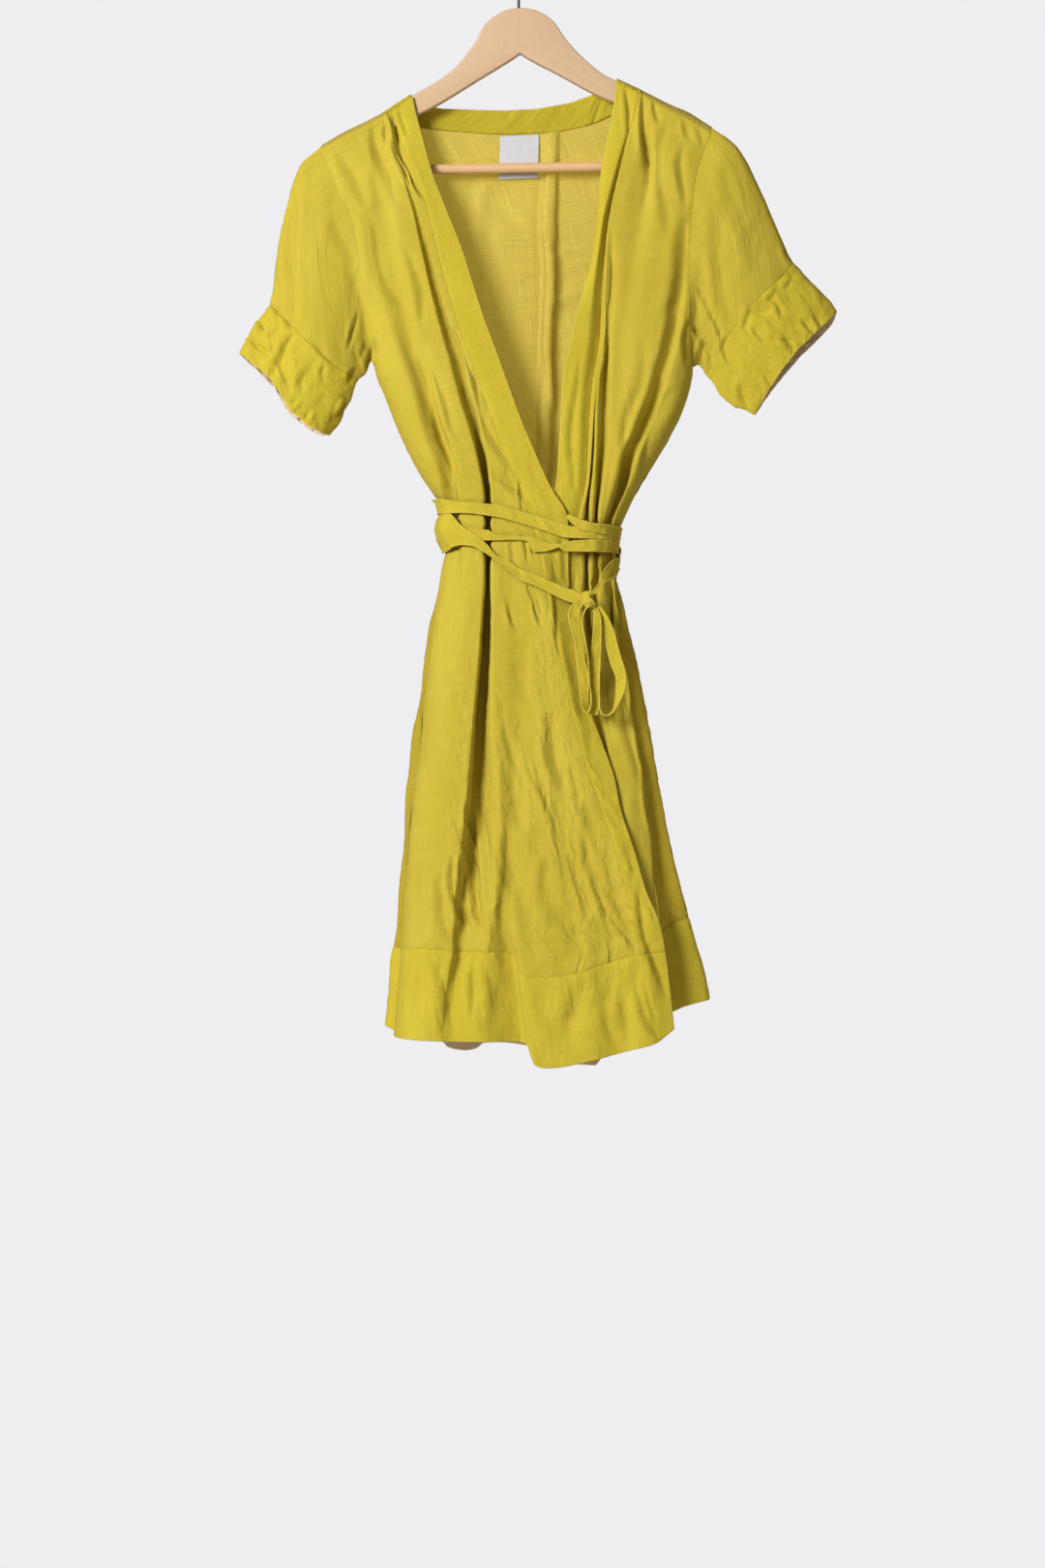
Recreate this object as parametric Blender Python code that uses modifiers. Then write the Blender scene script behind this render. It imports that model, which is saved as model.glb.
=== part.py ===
# Wrap dress on a wooden hanger with a bar and a wire hook.
# Tables are in millimetres, the model is in metres. x runs to the viewer's right, y runs to the
# back, and drop is the distance below the inside top of the hook, where a rail carries the part.
# "right" in a piece's name is the wearer's right, at the viewer's left.
import math
from collections import namedtuple

import bmesh
import bpy
import numpy as np
from mathutils import Matrix, Vector

MM = 0.001
CLOTH = 1.4            # thickness of the cloth wall
SEAM_GAP = 0.3         # between two pieces that are sewn together
ROUND_IN = 42.0        # width over which a front turns in towards its side seam
TIE_LIFT = 0.95        # middle of a tie above the cloth that it lies on
HANGER_THICK = 12.0
HANGER_EDGE = 2.5      # rounding of the wooden edges
BAR_RADIUS = 5.0
WIRE_RADIUS = 1.5
HOOK_INNER = 17.0      # inner radius of the hook
LABEL = (40.0, 45.0, 0.6)

# One row for each height of the body. The seams are the armholes down to drop 430, then the sides.
# arm is half of the armhole's depth, turn is how far a side seam has come round to the front.
Body = namedtuple("Body", "drop left_seam left_out right_seam right_out arm left_turn right_turn front back")
BODY = [Body(*row) for row in (
    (130, -235, -235, 222, 222, 8.5, 0, 0, 9.2, 16.5),
    (185, -214.5, -214.5, 199, 199, 8.5, 0, 0, 9.6, 17.0),
    (205, -206, -206, 190, 190, 8.5, 0, 0, 13.0, 17.6),
    (240, -190, -190, 180, 180, 16, 0, 0, 21.0, 19.5),
    (280, -173, -173, 176, 176, 20, 0, 0, 26.0, 22.0),
    (340, -161, -161, 174, 174, 20, 0, 0, 30.0, 25.0),
    (390, -154, -154, 176, 176, 13, 0, 0, 32.0, 27.0),
    (430, -151, -151, 178, 178, 0, 0, 0, 34.0, 29.0),
    (465, -138, -138, 171, 171, 0, 0, 0, 35.0, 31.0),
    (500, -124, -124, 155, 155, 0, 0, 0, 36.0, 33.0),
    (540, -104, -104, 131, 131, 0, 0, 0, 38.0, 35.0),
    (575, -84, -84, 111, 111, 0, 0, 0, 39.0, 37.0),
    (605, -83, -83, 100, 100, 0, 0, 0, 40.0, 38.0),
    (640, -81, -81, 98, 98, 0, 0, 0, 42.0, 39.0),
    (700, -90, -95, 101, 114, 0, 4, 5, 45.0, 41.0),
    (760, -99, -105, 110, 125, 0, 7, 10, 48.0, 44.0),
    (840, -106, -114, 126, 139, 0, 9, 15, 51.0, 47.0),
    (920, -115, -120, 136, 154, 0, 11, 19, 54.0, 50.0),
    (1000, -121, -128, 142, 174, 0, 13, 22, 58.0, 54.0),
    (1070, -126, -136, 145, 193, 0, 15, 24, 61.0, 57.0),
    (1130, -131, -142, 147, 201, 0, 16, 25, 63.0, 60.0),
)]

# The shoulders from left to right: the top of the shoulder and the seam in front of it.
# Across the neck the ridge follows the hanger.
Shoulder = namedtuple("Shoulder", "x ridge seam")
SHOULDERS = [Shoulder(*row) for row in (
    (-206, 200, 205), (-180, 185, 190), (-155, 173, 178), (-134, 161, 166), (-113, 147, 152),
    (-60, 112, 117), (0, 58, 63), (60, 104, 109),
    (99, 131, 136), (117, 139, 144), (139, 150, 156), (155, 158, 165), (174, 166, 174),
    (185, 173, 181), (199, 182, 188),
)]

# Free edges and band seams of the two fronts.
Edge = namedtuple("Edge", "drop edge seam tuck")   # tuck: the free edge rolls in by this much
RIGHT_EDGE = [Edge(*row) for row in (
    (140, -114, -139, 0), (165, -109, -137, 0), (195, -101, -125, 1), (232, -91, -108, 2),
    (268, -77, -95, 2), (309, -61, -86, 1), (375, -40, -68, 0), (424, -22, -51, 0),
    (480, -2, -31, 0), (528, 18, -13, 0), (557, 31, 0, 0), (587, 48, 10, 0), (612, 49, 18, 2),
    (662, 49, 27, 6), (710, 56, 37, 6), (750, 63, 46, 4), (790, 76, 54, 1), (838, 94, 66, 0),
    (884, 106, 83, 0), (937, 122, 99, 1), (970, 131, 108, 2), (1007, 145, 118, 3),
    (1058, 153, 128, 3), (1125, 159, 133, 2),
)]
LEFT_EDGE = [Edge(*row) for row in (
    (130, 100, 124, 0), (158, 97, 120, 1), (189, 91, 111, 3), (223, 84, 102, 6), (290, 78, 88, 7),
    (328, 72, 85, 5), (359, 63, 83, 2), (385, 56, 82, 0), (411, 51, 80, 0), (445, 44, 73.5, 0),
    (480, 42, 70.5, 0), (511, 40, 69, 0), (545, 38, 67, 0), (580, 30, 60, 0), (620, 20, 49, 0),
    (680, 13, 42, 0), (800, 11, 40, 0), (900, 14, 43, 0), (1000, 18, 47, 0), (1125, 22, 51, 0),
)]
# A valley runs along that seam from the shoulder to below the bust: its half width and depth.
Valley = namedtuple("Valley", "drop half depth")
LEFT_VALLEY = [Valley(*row) for row in (
    (180, 2.2, 0), (205, 2.5, 3), (240, 3, 6), (290, 3.6, 8), (328, 3.6, 9), (385, 4.4, 11),
    (411, 4, 7), (445, 2.4, 1), (470, 2.2, 0), (1125, 2.2, 0),
)]

# How far the left front lies behind the right front.
Lap = namedtuple("Lap", "drop behind")
LAPS = [Lap(*row) for row in (
    (200, 0), (400, 4), (580, 4.5), (620, 7), (660, 10.5), (712, 10.5), (750, 9), (800, 6),
    (1034, 8.5), (1130, 12),
)]

# Folds, one short table each, a row for each height: the two lips, the lowest line and its depth.
FoldRow = namedtuple("FoldRow", "drop left low right depth")


def fold(*rows):
    return [FoldRow(*row) for row in rows]


RIGHT_FOLDS = {
    "side_dip": fold(
        (165, -158, -156, -154, 0), (205, -158, -150, -142, 2), (290, -154, -138, -124, 4),
        (345, -144, -124, -112, 6), (401, -130, -113, -103, 9), (454, -112, -94, -87, 13),
        (502, -99, -82, -76, 14), (543, -84, -70, -66, 12), (600, -76, -65, -61, 9),
        (660, -76, -64, -58, 3), (760, -78, -66, -58, 0), (1130, -108, -100, -94, 0)),
    "main_pleat": fold(
        (165, -150, -148, -146, 0), (205, -138, -134, -130, 1), (240, -121, -117, -113, 3),
        (268, -112, -107.5, -103, 5), (300, -105, -100, -95.5, 7), (328, -98.5, -93.5, -89, 9),
        (379, -86.5, -80, -74.5, 11),
        (419, -76, -67, -59, 13), (470, -62, -53, -46, 16), (522, -46, -40, -34, 22),
        (569, -38, -33, -29, 28), (634, -38, -33, -29, 30), (714, -42, -35, -29, 31),
        (795, -49, -41, -29, 29), (857, -54, -46, -27, 22), (910, -58, -50, -27, 15),
        (960, -65, -57, -32, 10), (1034, -74, -61, -40, 7), (1125, -88, -75, -46, 10)),
    "hem_fold": fold(
        (165, -144, -143, -142, 0), (240, -111.5, -111, -110, 0), (300, -94, -93, -92, 0), (430, -54, -53, -52, 0),
        (560, -20, -14, -8, 0), (640, -18, -8, 2, 1), (760, -16, 0, 16, 2), (860, -20, -4, 14, 2),
        (940, -26, -12, 6, 3), (1000, -32, -18, -7, 6), (1034, -33, -9, -2, 10),
        (1125, -38, 2, 9, 16)),
    "hem_dip": fold(
        (165, -141, -140, -139, 0), (300, -91.5, -91, -90.5, 0), (430, -51, -50, -49, 0),
        (560, -6, -4, -2, 0), (700, 14, 20, 28, 0), (840, 24, 38, 52, 2), (940, 40, 62, 84, 2),
        (1034, 66, 92, 114, 4), (1125, 74, 104, 124, 7)),
}
LEFT_FOLDS = {
    "edge_slit": fold(
        (150, 127, 128, 129, 0), (240, 105, 106, 107, 0), (290, 92.5, 93.2, 94, 0),
        (385, 87, 87.7, 88.5, 0), (430, 79, 80, 81, 0), (465, 73.5, 75, 77, 1), (492, 71, 73.5, 77, 6), (521, 70, 72.5, 76, 9),
        (560, 65, 69, 73, 13), (600, 64, 68, 72, 14), (662, 64, 68, 72, 13), (714, 64, 71, 76, 10),
        (780, 62, 72, 80, 3), (860, 62, 74, 84, 0), (1125, 72, 84, 94, 0)),
    "band_valley": fold(
        (150, 130, 131, 132, 0), (240, 108, 109, 110, 0), (290, 96, 97, 98, 0),
        (385, 90, 91.5, 93, 2), (415, 85, 88.5, 92, 7), (439, 82, 87, 92, 12),
        (491, 79.5, 85.5, 91, 12), (547, 77, 81, 85, 15), (592, 74, 77.5, 81, 15), (640, 74, 78, 83, 9),
        (720, 78, 84, 92, 3), (860, 86, 94, 102, 0), (1125, 96, 104, 112, 0)),
    "shoulder_pleat": fold(
        (150, 133, 135, 138, 3), (200, 124, 131, 138, 8), (250, 114, 128, 138, 6),
        (310, 104, 118, 132, 3), (400, 95, 104, 116, 1), (520, 93, 96, 100, 0), (550, 86.5, 88, 90, 0),
        (592, 81.8, 82.7, 83.6, 0), (640, 83.8, 84.7, 85.6, 0), (700, 94, 96, 98, 0),
        (1125, 114, 120, 126, 0)),
    "side_fold": fold(
        (165, 150, 158, 166, 0), (300, 150, 162, 172, 0), (380, 146, 160, 171, 4),
        (450, 128, 139, 149, 9), (507, 109, 119, 127, 13), (562, 92, 99, 106, 14),
        (600, 84.4, 89, 93.6, 10), (640, 86.4, 90.6, 95, 4), (700, 95, 99, 103, 1), (790, 96, 101, 106, 0), (860, 106, 112, 120, 0),
        (1125, 128, 134, 140, 0)),
}
BACK_FOLDS = {
    "gather_1": fold(
        (195, -130, -112, -96, 0), (380, -126, -100, -82, 1), (500, -98, -80, -68, 8),
        (600, -68, -60, -52, 14), (720, -82, -70, -56, 13), (900, -104, -86, -64, 13),
        (1125, -124, -100, -74, 17)),
    "gather_2": fold(
        (195, -76, -58, -42, 0), (380, -74, -56, -38, 2), (500, -58, -44, -34, 8),
        (600, -42, -34, -26, 15), (720, -48, -37, -26, 14), (900, -56, -40, -22, 14),
        (1125, -66, -42, -16, 16)),
    "gather_3": fold(
        (195, 16, 36, 50, 1), (290, 18, 33, 46, 3), (400, 16, 31, 44, 6), (500, 14, 29, 40, 11),
        (600, 12, 20, 28, 16), (720, 2, 14, 26, 15), (900, -6, 14, 34, 15), (1125, -6, 18, 44, 18)),
    "gather_4": fold(
        (195, 84, 96, 108, 0), (380, 82, 96, 112, 1), (500, 66, 76, 88, 8), (600, 44, 52, 60, 15),
        (720, 46, 58, 70, 14), (900, 50, 70, 90, 14), (1125, 58, 84, 108, 17)),
    "gather_5": fold(
        (195, 112, 116, 120, 0), (380, 122, 132, 142, 0), (500, 110, 119, 128, 6),
        (600, 72, 79, 86, 12), (720, 82, 91, 100, 11), (900, 108, 124, 138, 11),
        (1125, 134, 152, 172, 13)),
}

# The hem band's seam and the hem, by x.
Hem = namedtuple("Hem", "x seam hem")
RIGHT_HEM = [Hem(*row) for row in (
    (-131, 1028, 1119), (-98, 1028, 1121), (-58, 1030, 1122), (-10, 1031, 1122), (3, 1040, 1123),
    (9, 1048, 1134), (15, 1053, 1144), (24, 1054, 1149), (40, 1054, 1148), (60, 1051, 1144),
    (82, 1045, 1139), (112, 1036, 1131), (137, 1032, 1124), (159, 1030, 1108),
)]
LEFT_HEM = [Hem(*row) for row in ((20, 1036, 1128), (90, 1034, 1124), (147, 1028, 1112))]
BACK_HEM = [Hem(*row) for row in (
    (-142, 1024, 1108), (-110, 1034, 1122), (-70, 1040, 1132), (-40, 1042, 1136), (10, 1042, 1134),
    (60, 1046, 1146), (90, 1044, 1142), (130, 1024, 1116), (160, 1002, 1092), (201, 992, 1080),
)]

# The back neck band: its seam to the back, and its free edge.
Neck = namedtuple("Neck", "seam_x seam_y seam_drop edge_x edge_y edge_drop")
NECK = [Neck(*row) for row in (
    (-139.2, -9.4, 168.3, -114, -9.4, 152), (-139.2, -6.5, 165.2, -114, -6.5, 148.8),
    (-139.2, 0.0, 164.0, -114, 0.0, 147.6), (-139.2, 6.5, 165.2, -113.5, 6.5, 149),
    (-139.2, 8.7, 169.6, -111, 9.2, 153.5), (-133, 11.2, 171, -107, 11.4, 155.5),
    (-118, 14.5, 178, -96, 14.0, 160), (-96, 16.0, 185, -82, 16.0, 163), (-60, 16.8, 189, -56, 16.8, 165),
    (-20, 17.1, 192, -20, 17.1, 166.5), (20, 17.0, 191, 16, 17.0, 165.5),
    (62, 16.6, 185, 52, 16.6, 160), (92, 15.0, 173, 76, 15.0, 151.5), (110, 13.0, 161, 90, 13.0, 142),
    (120, 10.6, 152, 96.5, 11.0, 137.5), (124.2, 8.7, 148.6, 98.5, 9.0, 136),
    (124.2, 6.5, 143.8, 99.5, 6.5, 132.8), (124.2, 0.0, 142.6, 100, 0.0, 131.4),
    (124.2, -6.5, 143.8, 100, -6.5, 132.6), (124.2, -9.4, 147.2, 100, -9.4, 135.7),
)]

# Two lines down the back from each corner of the neck, and where the back begins, by x.
NeckLine = namedtuple("NeckLine", "drop left_outer left_inner right_inner right_outer")
NECK_LINES = [NeckLine(*row) for row in (
    (145, -160, -139.5, 124.5, 150), (195, -160, -139.5, 125, 154), (240, -156, -138, 130, 156),
    (380, -136, -129, 146, 154), (500, -108, -101, 132, 138), (600, -75, -71, 88.5, 91),
    (640, -77, -75, 91, 94), (720, -88, -85, 103, 108), (900, -112, -108, 142, 148),
    (1130, -132, -128, 178, 186),
)]
BackTop = namedtuple("BackTop", "x drop")
BACK_TOP = [BackTop(*row) for row in (
    (-206, 206), (-180, 191), (-155, 179), (-139.5, 170), (-133, 170.5), (-118, 178), (-96, 185),
    (-60, 189), (-20, 192), (20, 191), (62, 185), (92, 173), (110, 161), (120, 152), (124.5, 149),
    (139, 156), (155, 164), (174, 172), (185, 179), (199, 188),
)]

# Sleeves: named lines along the sleeve, from the armhole to the cuff's edge, as x and drop at
# the cap, the upper arm, the lower arm, the cuff's seam and the edge, and the depth at each.
SleeveLine = namedtuple("SleeveLine", "name armhole_drop x drop depth")
LEFT_SLEEVE = [SleeveLine(*row) for row in (
    ("top", 182, (221, 250, 274, 284, 327), (197, 248, 303, 320, 367), (0, 0, 0, 0, 0)),
    ("crown", 183, (220, 249, 273, 283, 325), (198, 249, 304, 321, 368), (6.5, 6.5, 6, 5, 4.5)),
    ("brow", 189, (217, 246, 270, 279, 320), (202, 252, 308, 327, 377), (10, 10, 9.5, 9, 9)),
    ("upper_front", 214, (208, 235, 258, 266, 307), (224, 271, 325, 341, 390), (16, 17, 16, 15, 14)),
    ("middle", 262, (196, 219, 240, 250, 289), (262, 296, 340, 355, 409), (21, 22, 21, 20, 18)),
    ("lower_front", 318, (187, 204, 222, 232, 271), (312, 334, 362, 374, 431), (20, 21, 21, 20, 19)),
    ("under_front", 374, (182, 190, 202, 212, 256), (368, 380, 394, 403, 453), (12, 13, 14, 14, 13)),
    ("under", 429, (182.5, 185.5, 188.5, 191.5, 242), (430.5, 432.5, 435, 438, 480), (0, 0, 0, 0, 0)),
)]
RIGHT_SLEEVE = [SleeveLine(*row) for row in (
    ("top", 201, (-228, -242, -254, -261, -291), (220, 265, 326, 364, 412), (0, 0, 0, 0, 0)),
    ("crown", 202, (-227, -241, -252.5, -259.5, -289.5), (221, 265.5, 326.5, 365, 413),
     (6.5, 6.5, 6, 5, 4.5)),
    ("brow", 208, (-224, -237, -247, -252, -277), (224, 268, 329, 372, 425), (10, 10, 9.5, 9, 9)),
    ("lip", 234, (-210, -229, -231, -236, -257), (240, 279, 338, 389, 442), (16, 19, 20, 17, 16)),
    ("middle", 272, (-190, -207, -209, -216, -238), (272, 302, 352, 408, 474), (21, 23, 23, 22, 19)),
    ("lower_front", 320, (-173, -184, -189, -198, -219), (318, 336, 372, 424, 490), (20, 22, 22, 21, 18)),
    ("under_front", 376, (-161, -166, -171, -181, -205), (374, 385, 402, 436, 496), (12, 13, 14, 14, 12)),
    ("under", 430, (-155.5, -158.5, -162, -166, -196), (432, 435, 438.5, 442, 498), (0, 0, 0, 0, 0)),
)]

# Tie strands that lie round the waist. turn is 0 at the left side, 1 at the right side in front,
# and runs on to 2 at the left side behind. upper and lower are the two edges.
Strand = namedtuple("Strand", "turn upper lower lift")
FRONT_TIES = {
    "tie_upper": [Strand(*row) for row in (
        (0.01, 566, 580, 3.4), (0.20, 570, 582, 1.4), (0.36, 575, 586, 1.0), (0.50, 581, 592, 1.0),
        (0.64, 590, 601, 1.0), (0.70, 593, 606, 2.2), (0.80, 594, 607, 2.0), (0.99, 596, 608, 1.2))],
    "tie_middle": [Strand(*row) for row in (
        (0.26, 598.5, 610.5, 1.2), (0.33, 601, 609.5, 1.2), (0.39, 605.5, 610.5, 1.2),
        (0.48, 607, 616, 1.2), (0.56, 608, 621, 1.2), (0.66, 612, 619, 1.2), (0.71, 611, 620, 1.2),
        (0.80, 610, 621, 1.2), (0.99, 610, 622, 1.2))],
    "tie_lower": [Strand(*row) for row in (
        (0.01, 583, 621, 2.0), (0.13, 583, 617, 2.2), (0.21, 590, 617, 2.4), (0.28, 604, 619, 3.4),
        (0.33, 613, 623, 3.8), (0.38, 624, 630, 3.8), (0.42, 631, 640, 3.6), (0.50, 640, 651, 3.4),
        (0.58, 650, 661, 3.4), (0.65, 657, 669, 3.8), (0.683, 661.5, 671, 5.2))],
    "tie_short": [Strand(*row) for row in (
        (0.765, 655, 668, 5.4), (0.80, 641, 660, 4.4), (0.85, 629, 650, 3.4), (0.91, 624.5, 641, 2.0),
        (0.99, 624.5, 637, 0.9))],
}
BACK_TIES = {
    "tie_back_upper": [Strand(*row) for row in (
        (1.01, 596, 608, 1.2), (1.25, 592, 605, 1.0), (1.55, 583, 596, 1.0), (1.80, 573, 586, 1.4),
        (1.99, 566, 580, 3.4))],
    "tie_back_lower": [Strand(*row) for row in (
        (1.01, 611, 636, 1.4), (1.20, 612, 630, 1.0), (1.50, 604, 618, 1.0), (1.80, 590, 612, 1.2),
        (1.99, 583, 621, 2.0))],
}

# Loose ribbons of the bow: the middle line, how far it lies out from the front, the width, and
# how far the width is turned out of the face, in degrees.
Ribbon = namedtuple("Ribbon", "x drop lift width turn")
KNOT = (68.0, 672.0, 7.2)            # x, drop and lift of its middle
KNOT_SIZE = (7.0, 4.2, 6.5)          # half sizes
BOW = {
    "bow_loop_right": [Ribbon(*row) for row in (
        (64.2, 677.6, 6.4, 5, 8), (60.0, 688, 7.0, 9.5, 14), (57.0, 702, 7.0, 11.5, 12),
        (58.5, 722, 6.4, 12, 8), (61.0, 745, 6.0, 12, 8), (63.0, 768, 6.4, 10, 15),
        (64.5, 782, 7.8, 8, 35), (67.0, 788, 9.2, 7, 70), (69.0, 783, 9.4, 6, 84),
        (69.2, 768, 9.2, 6, 88), (69.2, 742, 9.2, 6, 88), (68.6, 715, 9.2, 6, 84),
        (68.2, 696, 9.2, 6, 82), (68.4, 681.0, 9.2, 5, 82))],
    "bow_loop_left": [Ribbon(*row) for row in (
        (74.9, 675.6, 7.0, 4.5, -16), (82.0, 684, 7.6, 8, -20), (88.0, 696, 7.6, 10.5, -18),
        (92.5, 712, 7.0, 11.5, -12), (98.0, 732, 6.6, 12, -10), (101.0, 750, 6.8, 11.5, -20),
        (99.5, 764, 8.0, 10, -45), (95.0, 775, 9.0, 8, -65), (91.0, 786, 9.4, 6.5, -80),
        (86.0, 789, 9.4, 6, -88), (82.5, 782, 9.4, 6, -88), (81.8, 766, 9.2, 6, -88),
        (81.4, 742, 9.2, 6, -86), (81.0, 715, 9.2, 6, -86), (78.4, 697, 9.2, 6, -86),
        (76.8, 687.0, 9.2, 5, -86))],
    "tie_end": [Ribbon(*row) for row in (
        (72.3, 677.5, 4.8, 4.5, 0), (75.0, 692, 4.4, 7, 2), (76.4, 712, 4.2, 8, 2),
        (75.8, 738, 4.2, 8, -2), (75.4, 762, 4.4, 8.5, 2), (75.6, 791, 4.6, 9.5, 2))],
}

# Hanger: the outline of the wooden body from its left tip over the top, then back underneath.
Spot = namedtuple("Spot", "x drop")
HANGER_TOP = [Spot(*row) for row in (
    (-221, 227), (-219.5, 219), (-215, 212), (-208, 206.5), (-199, 198), (-180, 187.2),
    (-155, 175.2), (-134, 163.2), (-113, 149.2), (-87, 134.5), (-68, 120), (-48, 95), (-36, 74),
    (-26, 66), (-14, 60), (0, 58), (14, 60), (25, 65), (34, 72), (46, 89), (58, 103), (73, 117),
    (87, 127.5), (99, 133.2), (117, 141.2), (139, 152.2), (155, 160.2), (174, 168.2), (185, 175.2),
    (199, 184.5), (208, 192), (216, 198.5), (221, 207), (223, 219), (220, 231),
)]
HANGER_UNDER = [Spot(*row) for row in (
    (210, 236), (201, 231), (196.5, 222), (195, 210), (180, 199), (155, 182), (117, 164),
    (79, 150), (40, 128), (1, 106), (-45, 133), (-90, 160), (-117, 174), (-155, 196), (-178, 208),
    (-189, 216), (-190.5, 228), (-195, 236), (-205, 240), (-216, 236),
)]
BAR_LEFT = Spot(-189.2, 225.5)
BAR_RIGHT = Spot(195.1, 219.5)
HOOK_STEM = -2.0                     # x of the wire where it leaves the wood
HANGER_CREST = 58.0                  # drop of the top of the wood

CHEST_DROP = 240
WAIST_DROP = 640
UNDERARM_DROP = 430
UNDERARM_AWAY = 1.4                  # the sleeve's lowest line keeps this far off the side seam
LEVELS = (0, 1, 2, 3, 4)             # shoulder, chest, waist, hem band's seam, hem
# Rows of cloth from each level to the next, closer together about the waist.
ROW_STEPS = (
    (0, 0.2, 0.4, 0.6, 0.8),
    (0, 0.12, 0.25, 0.37, 0.47, 0.56, 0.65, 0.725, 0.785, 0.835, 0.875, 0.912, 0.95),
    (0, 0.06, 0.14, 0.25, 0.39, 0.54, 0.69, 0.85),
    (0, 0.33, 0.67),
)
HEM_ROW = sum(len(steps) for steps in ROW_STEPS[:3])
END_ROW = HEM_ROW + len(ROW_STEPS[3])
PLEAT_ROOM = 3.0                     # the widest floor of a fold
TURN_PARTS = (0.015, 0.12, 0.33, 0.66)
CAP_STEP = 0.4                       # least distance of two lines over the shoulder
STRAND_STEPS = 28                    # lengths of a tie round half of the waist
SIDE_STEP = 3.0                      # the back runs on this far in line with the front

CLOTH_COLOUR = (0.62, 0.50, 0.055)
WOOD_COLOUR = (0.78, 0.58, 0.42)
WIRE_COLOUR = (0.10, 0.10, 0.11)
LABEL_COLOUR = (0.86, 0.86, 0.88)


def glide(stops, values, at):
    """A smooth curve through the values that never passes beyond them."""
    stops = np.asarray(stops, float)
    values = np.asarray(values, float)
    at = np.clip(np.asarray(at, float), stops[0], stops[-1])
    step = np.diff(stops)
    slope = np.diff(values) / step
    if len(stops) == 2:
        return values[0] + slope[0] * (at - stops[0])
    tangent = np.zeros(len(stops))
    rising = slope[:-1] * slope[1:] > 0
    safe_a = np.where(rising, slope[:-1], 1.0)
    safe_b = np.where(rising, slope[1:], 1.0)
    near = 2 * step[1:] + step[:-1]
    far = step[1:] + 2 * step[:-1]
    tangent[1:-1] = np.where(rising, (near + far) / (near / safe_a + far / safe_b), 0.0)
    tangent[0] = slope[0]
    tangent[-1] = slope[-1]
    index = np.clip(np.searchsorted(stops, at, side="right") - 1, 0, len(step) - 1)
    width = step[index]
    part = (at - stops[index]) / width
    start = values[index] * (1 + 2 * part) * (1 - part) ** 2 + values[index + 1] * part ** 2 * (3 - 2 * part)
    lean = tangent[index] * part * (1 - part) ** 2 - tangent[index + 1] * part ** 2 * (1 - part)
    return start + lean * width


def column(rows, name, at):
    """One named column of a table, read at any height or x."""
    return glide([row[0] for row in rows], [getattr(row, name) for row in rows], at)


def turn_in(part, opened=0.0):
    """Section of a panel beside its side seam: 0 at the seam, 1 where it faces the front.
    opened is 1 beside an armhole, where the panel runs out flat into the sleeve."""
    part = np.clip(part, 0, 1)
    return (1 - opened) * (1 - (1 - part) ** 2.4) ** 0.5 + opened * np.sin(math.pi / 2 * part)


def armhole_at(drop):
    """1 where the panels end at an armhole, 0 where they end at a side seam."""
    return np.clip((UNDERARM_DROP - drop) / 70, 0, 1)


def in_order(lines, low, high, least=0.6):
    """Keep neighbouring lines at least this far apart, and all of them between two others."""
    lines = np.array(lines, float)
    count = len(lines)
    for index in range(count):
        before = lines[index - 1] if index else low
        lines[index] = np.maximum(lines[index], before + least)
    for index in range(count - 1, -1, -1):
        after = lines[index + 1] if index < count - 1 else high
        lines[index] = np.minimum(lines[index], after - least)
    return lines


def fold_lines(folds, drop):
    """The x of every fold's lips and floor at a height, and how deep each line lies."""
    places = []
    depths = []
    for rows in folds.values():
        left = column(rows, "left", drop)
        low = column(rows, "low", drop)
        right = column(rows, "right", drop)
        floor = np.minimum(PLEAT_ROOM, 0.3 * (right - left)) / 2
        depth = column(rows, "depth", drop)
        places += [left, low - floor, low + floor, right]
        depths += [0 * depth, depth, depth, 0 * depth]
    return places, depths


def settled(places, drop):
    """0 over the hanger's arm, 1 below it: no fold is deep where the cloth lies on the wood."""
    over = drop - column(SHOULDERS, "seam", places)
    return np.clip((over - 20) / 40, 0, 1)


def turn_lines(side, first, way):
    """Four lines in the part of a panel that turns in beside its side seam, up to the first fold."""
    room = np.clip(way * (first - side), 3, ROUND_IN)
    return [side + way * (0.6 + room * part) for part in TURN_PARTS]


def right_front_net(drop):
    """x and y of the right front's lines from its side seam to its free edge."""
    folds, dips = fold_lines(RIGHT_FOLDS, drop)
    side = column(BODY, "left_seam", drop)
    seam = column(RIGHT_EDGE, "seam", drop)
    edge = column(RIGHT_EDGE, "edge", drop)
    tuck = column(RIGHT_EDGE, "tuck", drop)
    nothing = 0 * drop
    turn = turn_lines(side, folds[0], 1)
    inner = in_order(turn + folds + [seam - 3], side, seam)
    places = np.vstack([side, inner, seam, (seam + edge) / 2, edge])
    dips = np.vstack([nothing] * 5 + dips + [nothing] * 3 + [tuck])
    start = -column(BODY, "arm", drop) - column(BODY, "left_turn", drop)
    front = -column(BODY, "front", drop)
    depth = start + (front - start) * turn_in((places - side) / ROUND_IN, armhole_at(drop))
    return places, depth + dips * settled(places, drop)


def lap_at(drop):
    """How far the left front lies behind the right front: nothing at the shoulder."""
    return column(LAPS, "behind", drop)


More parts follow.
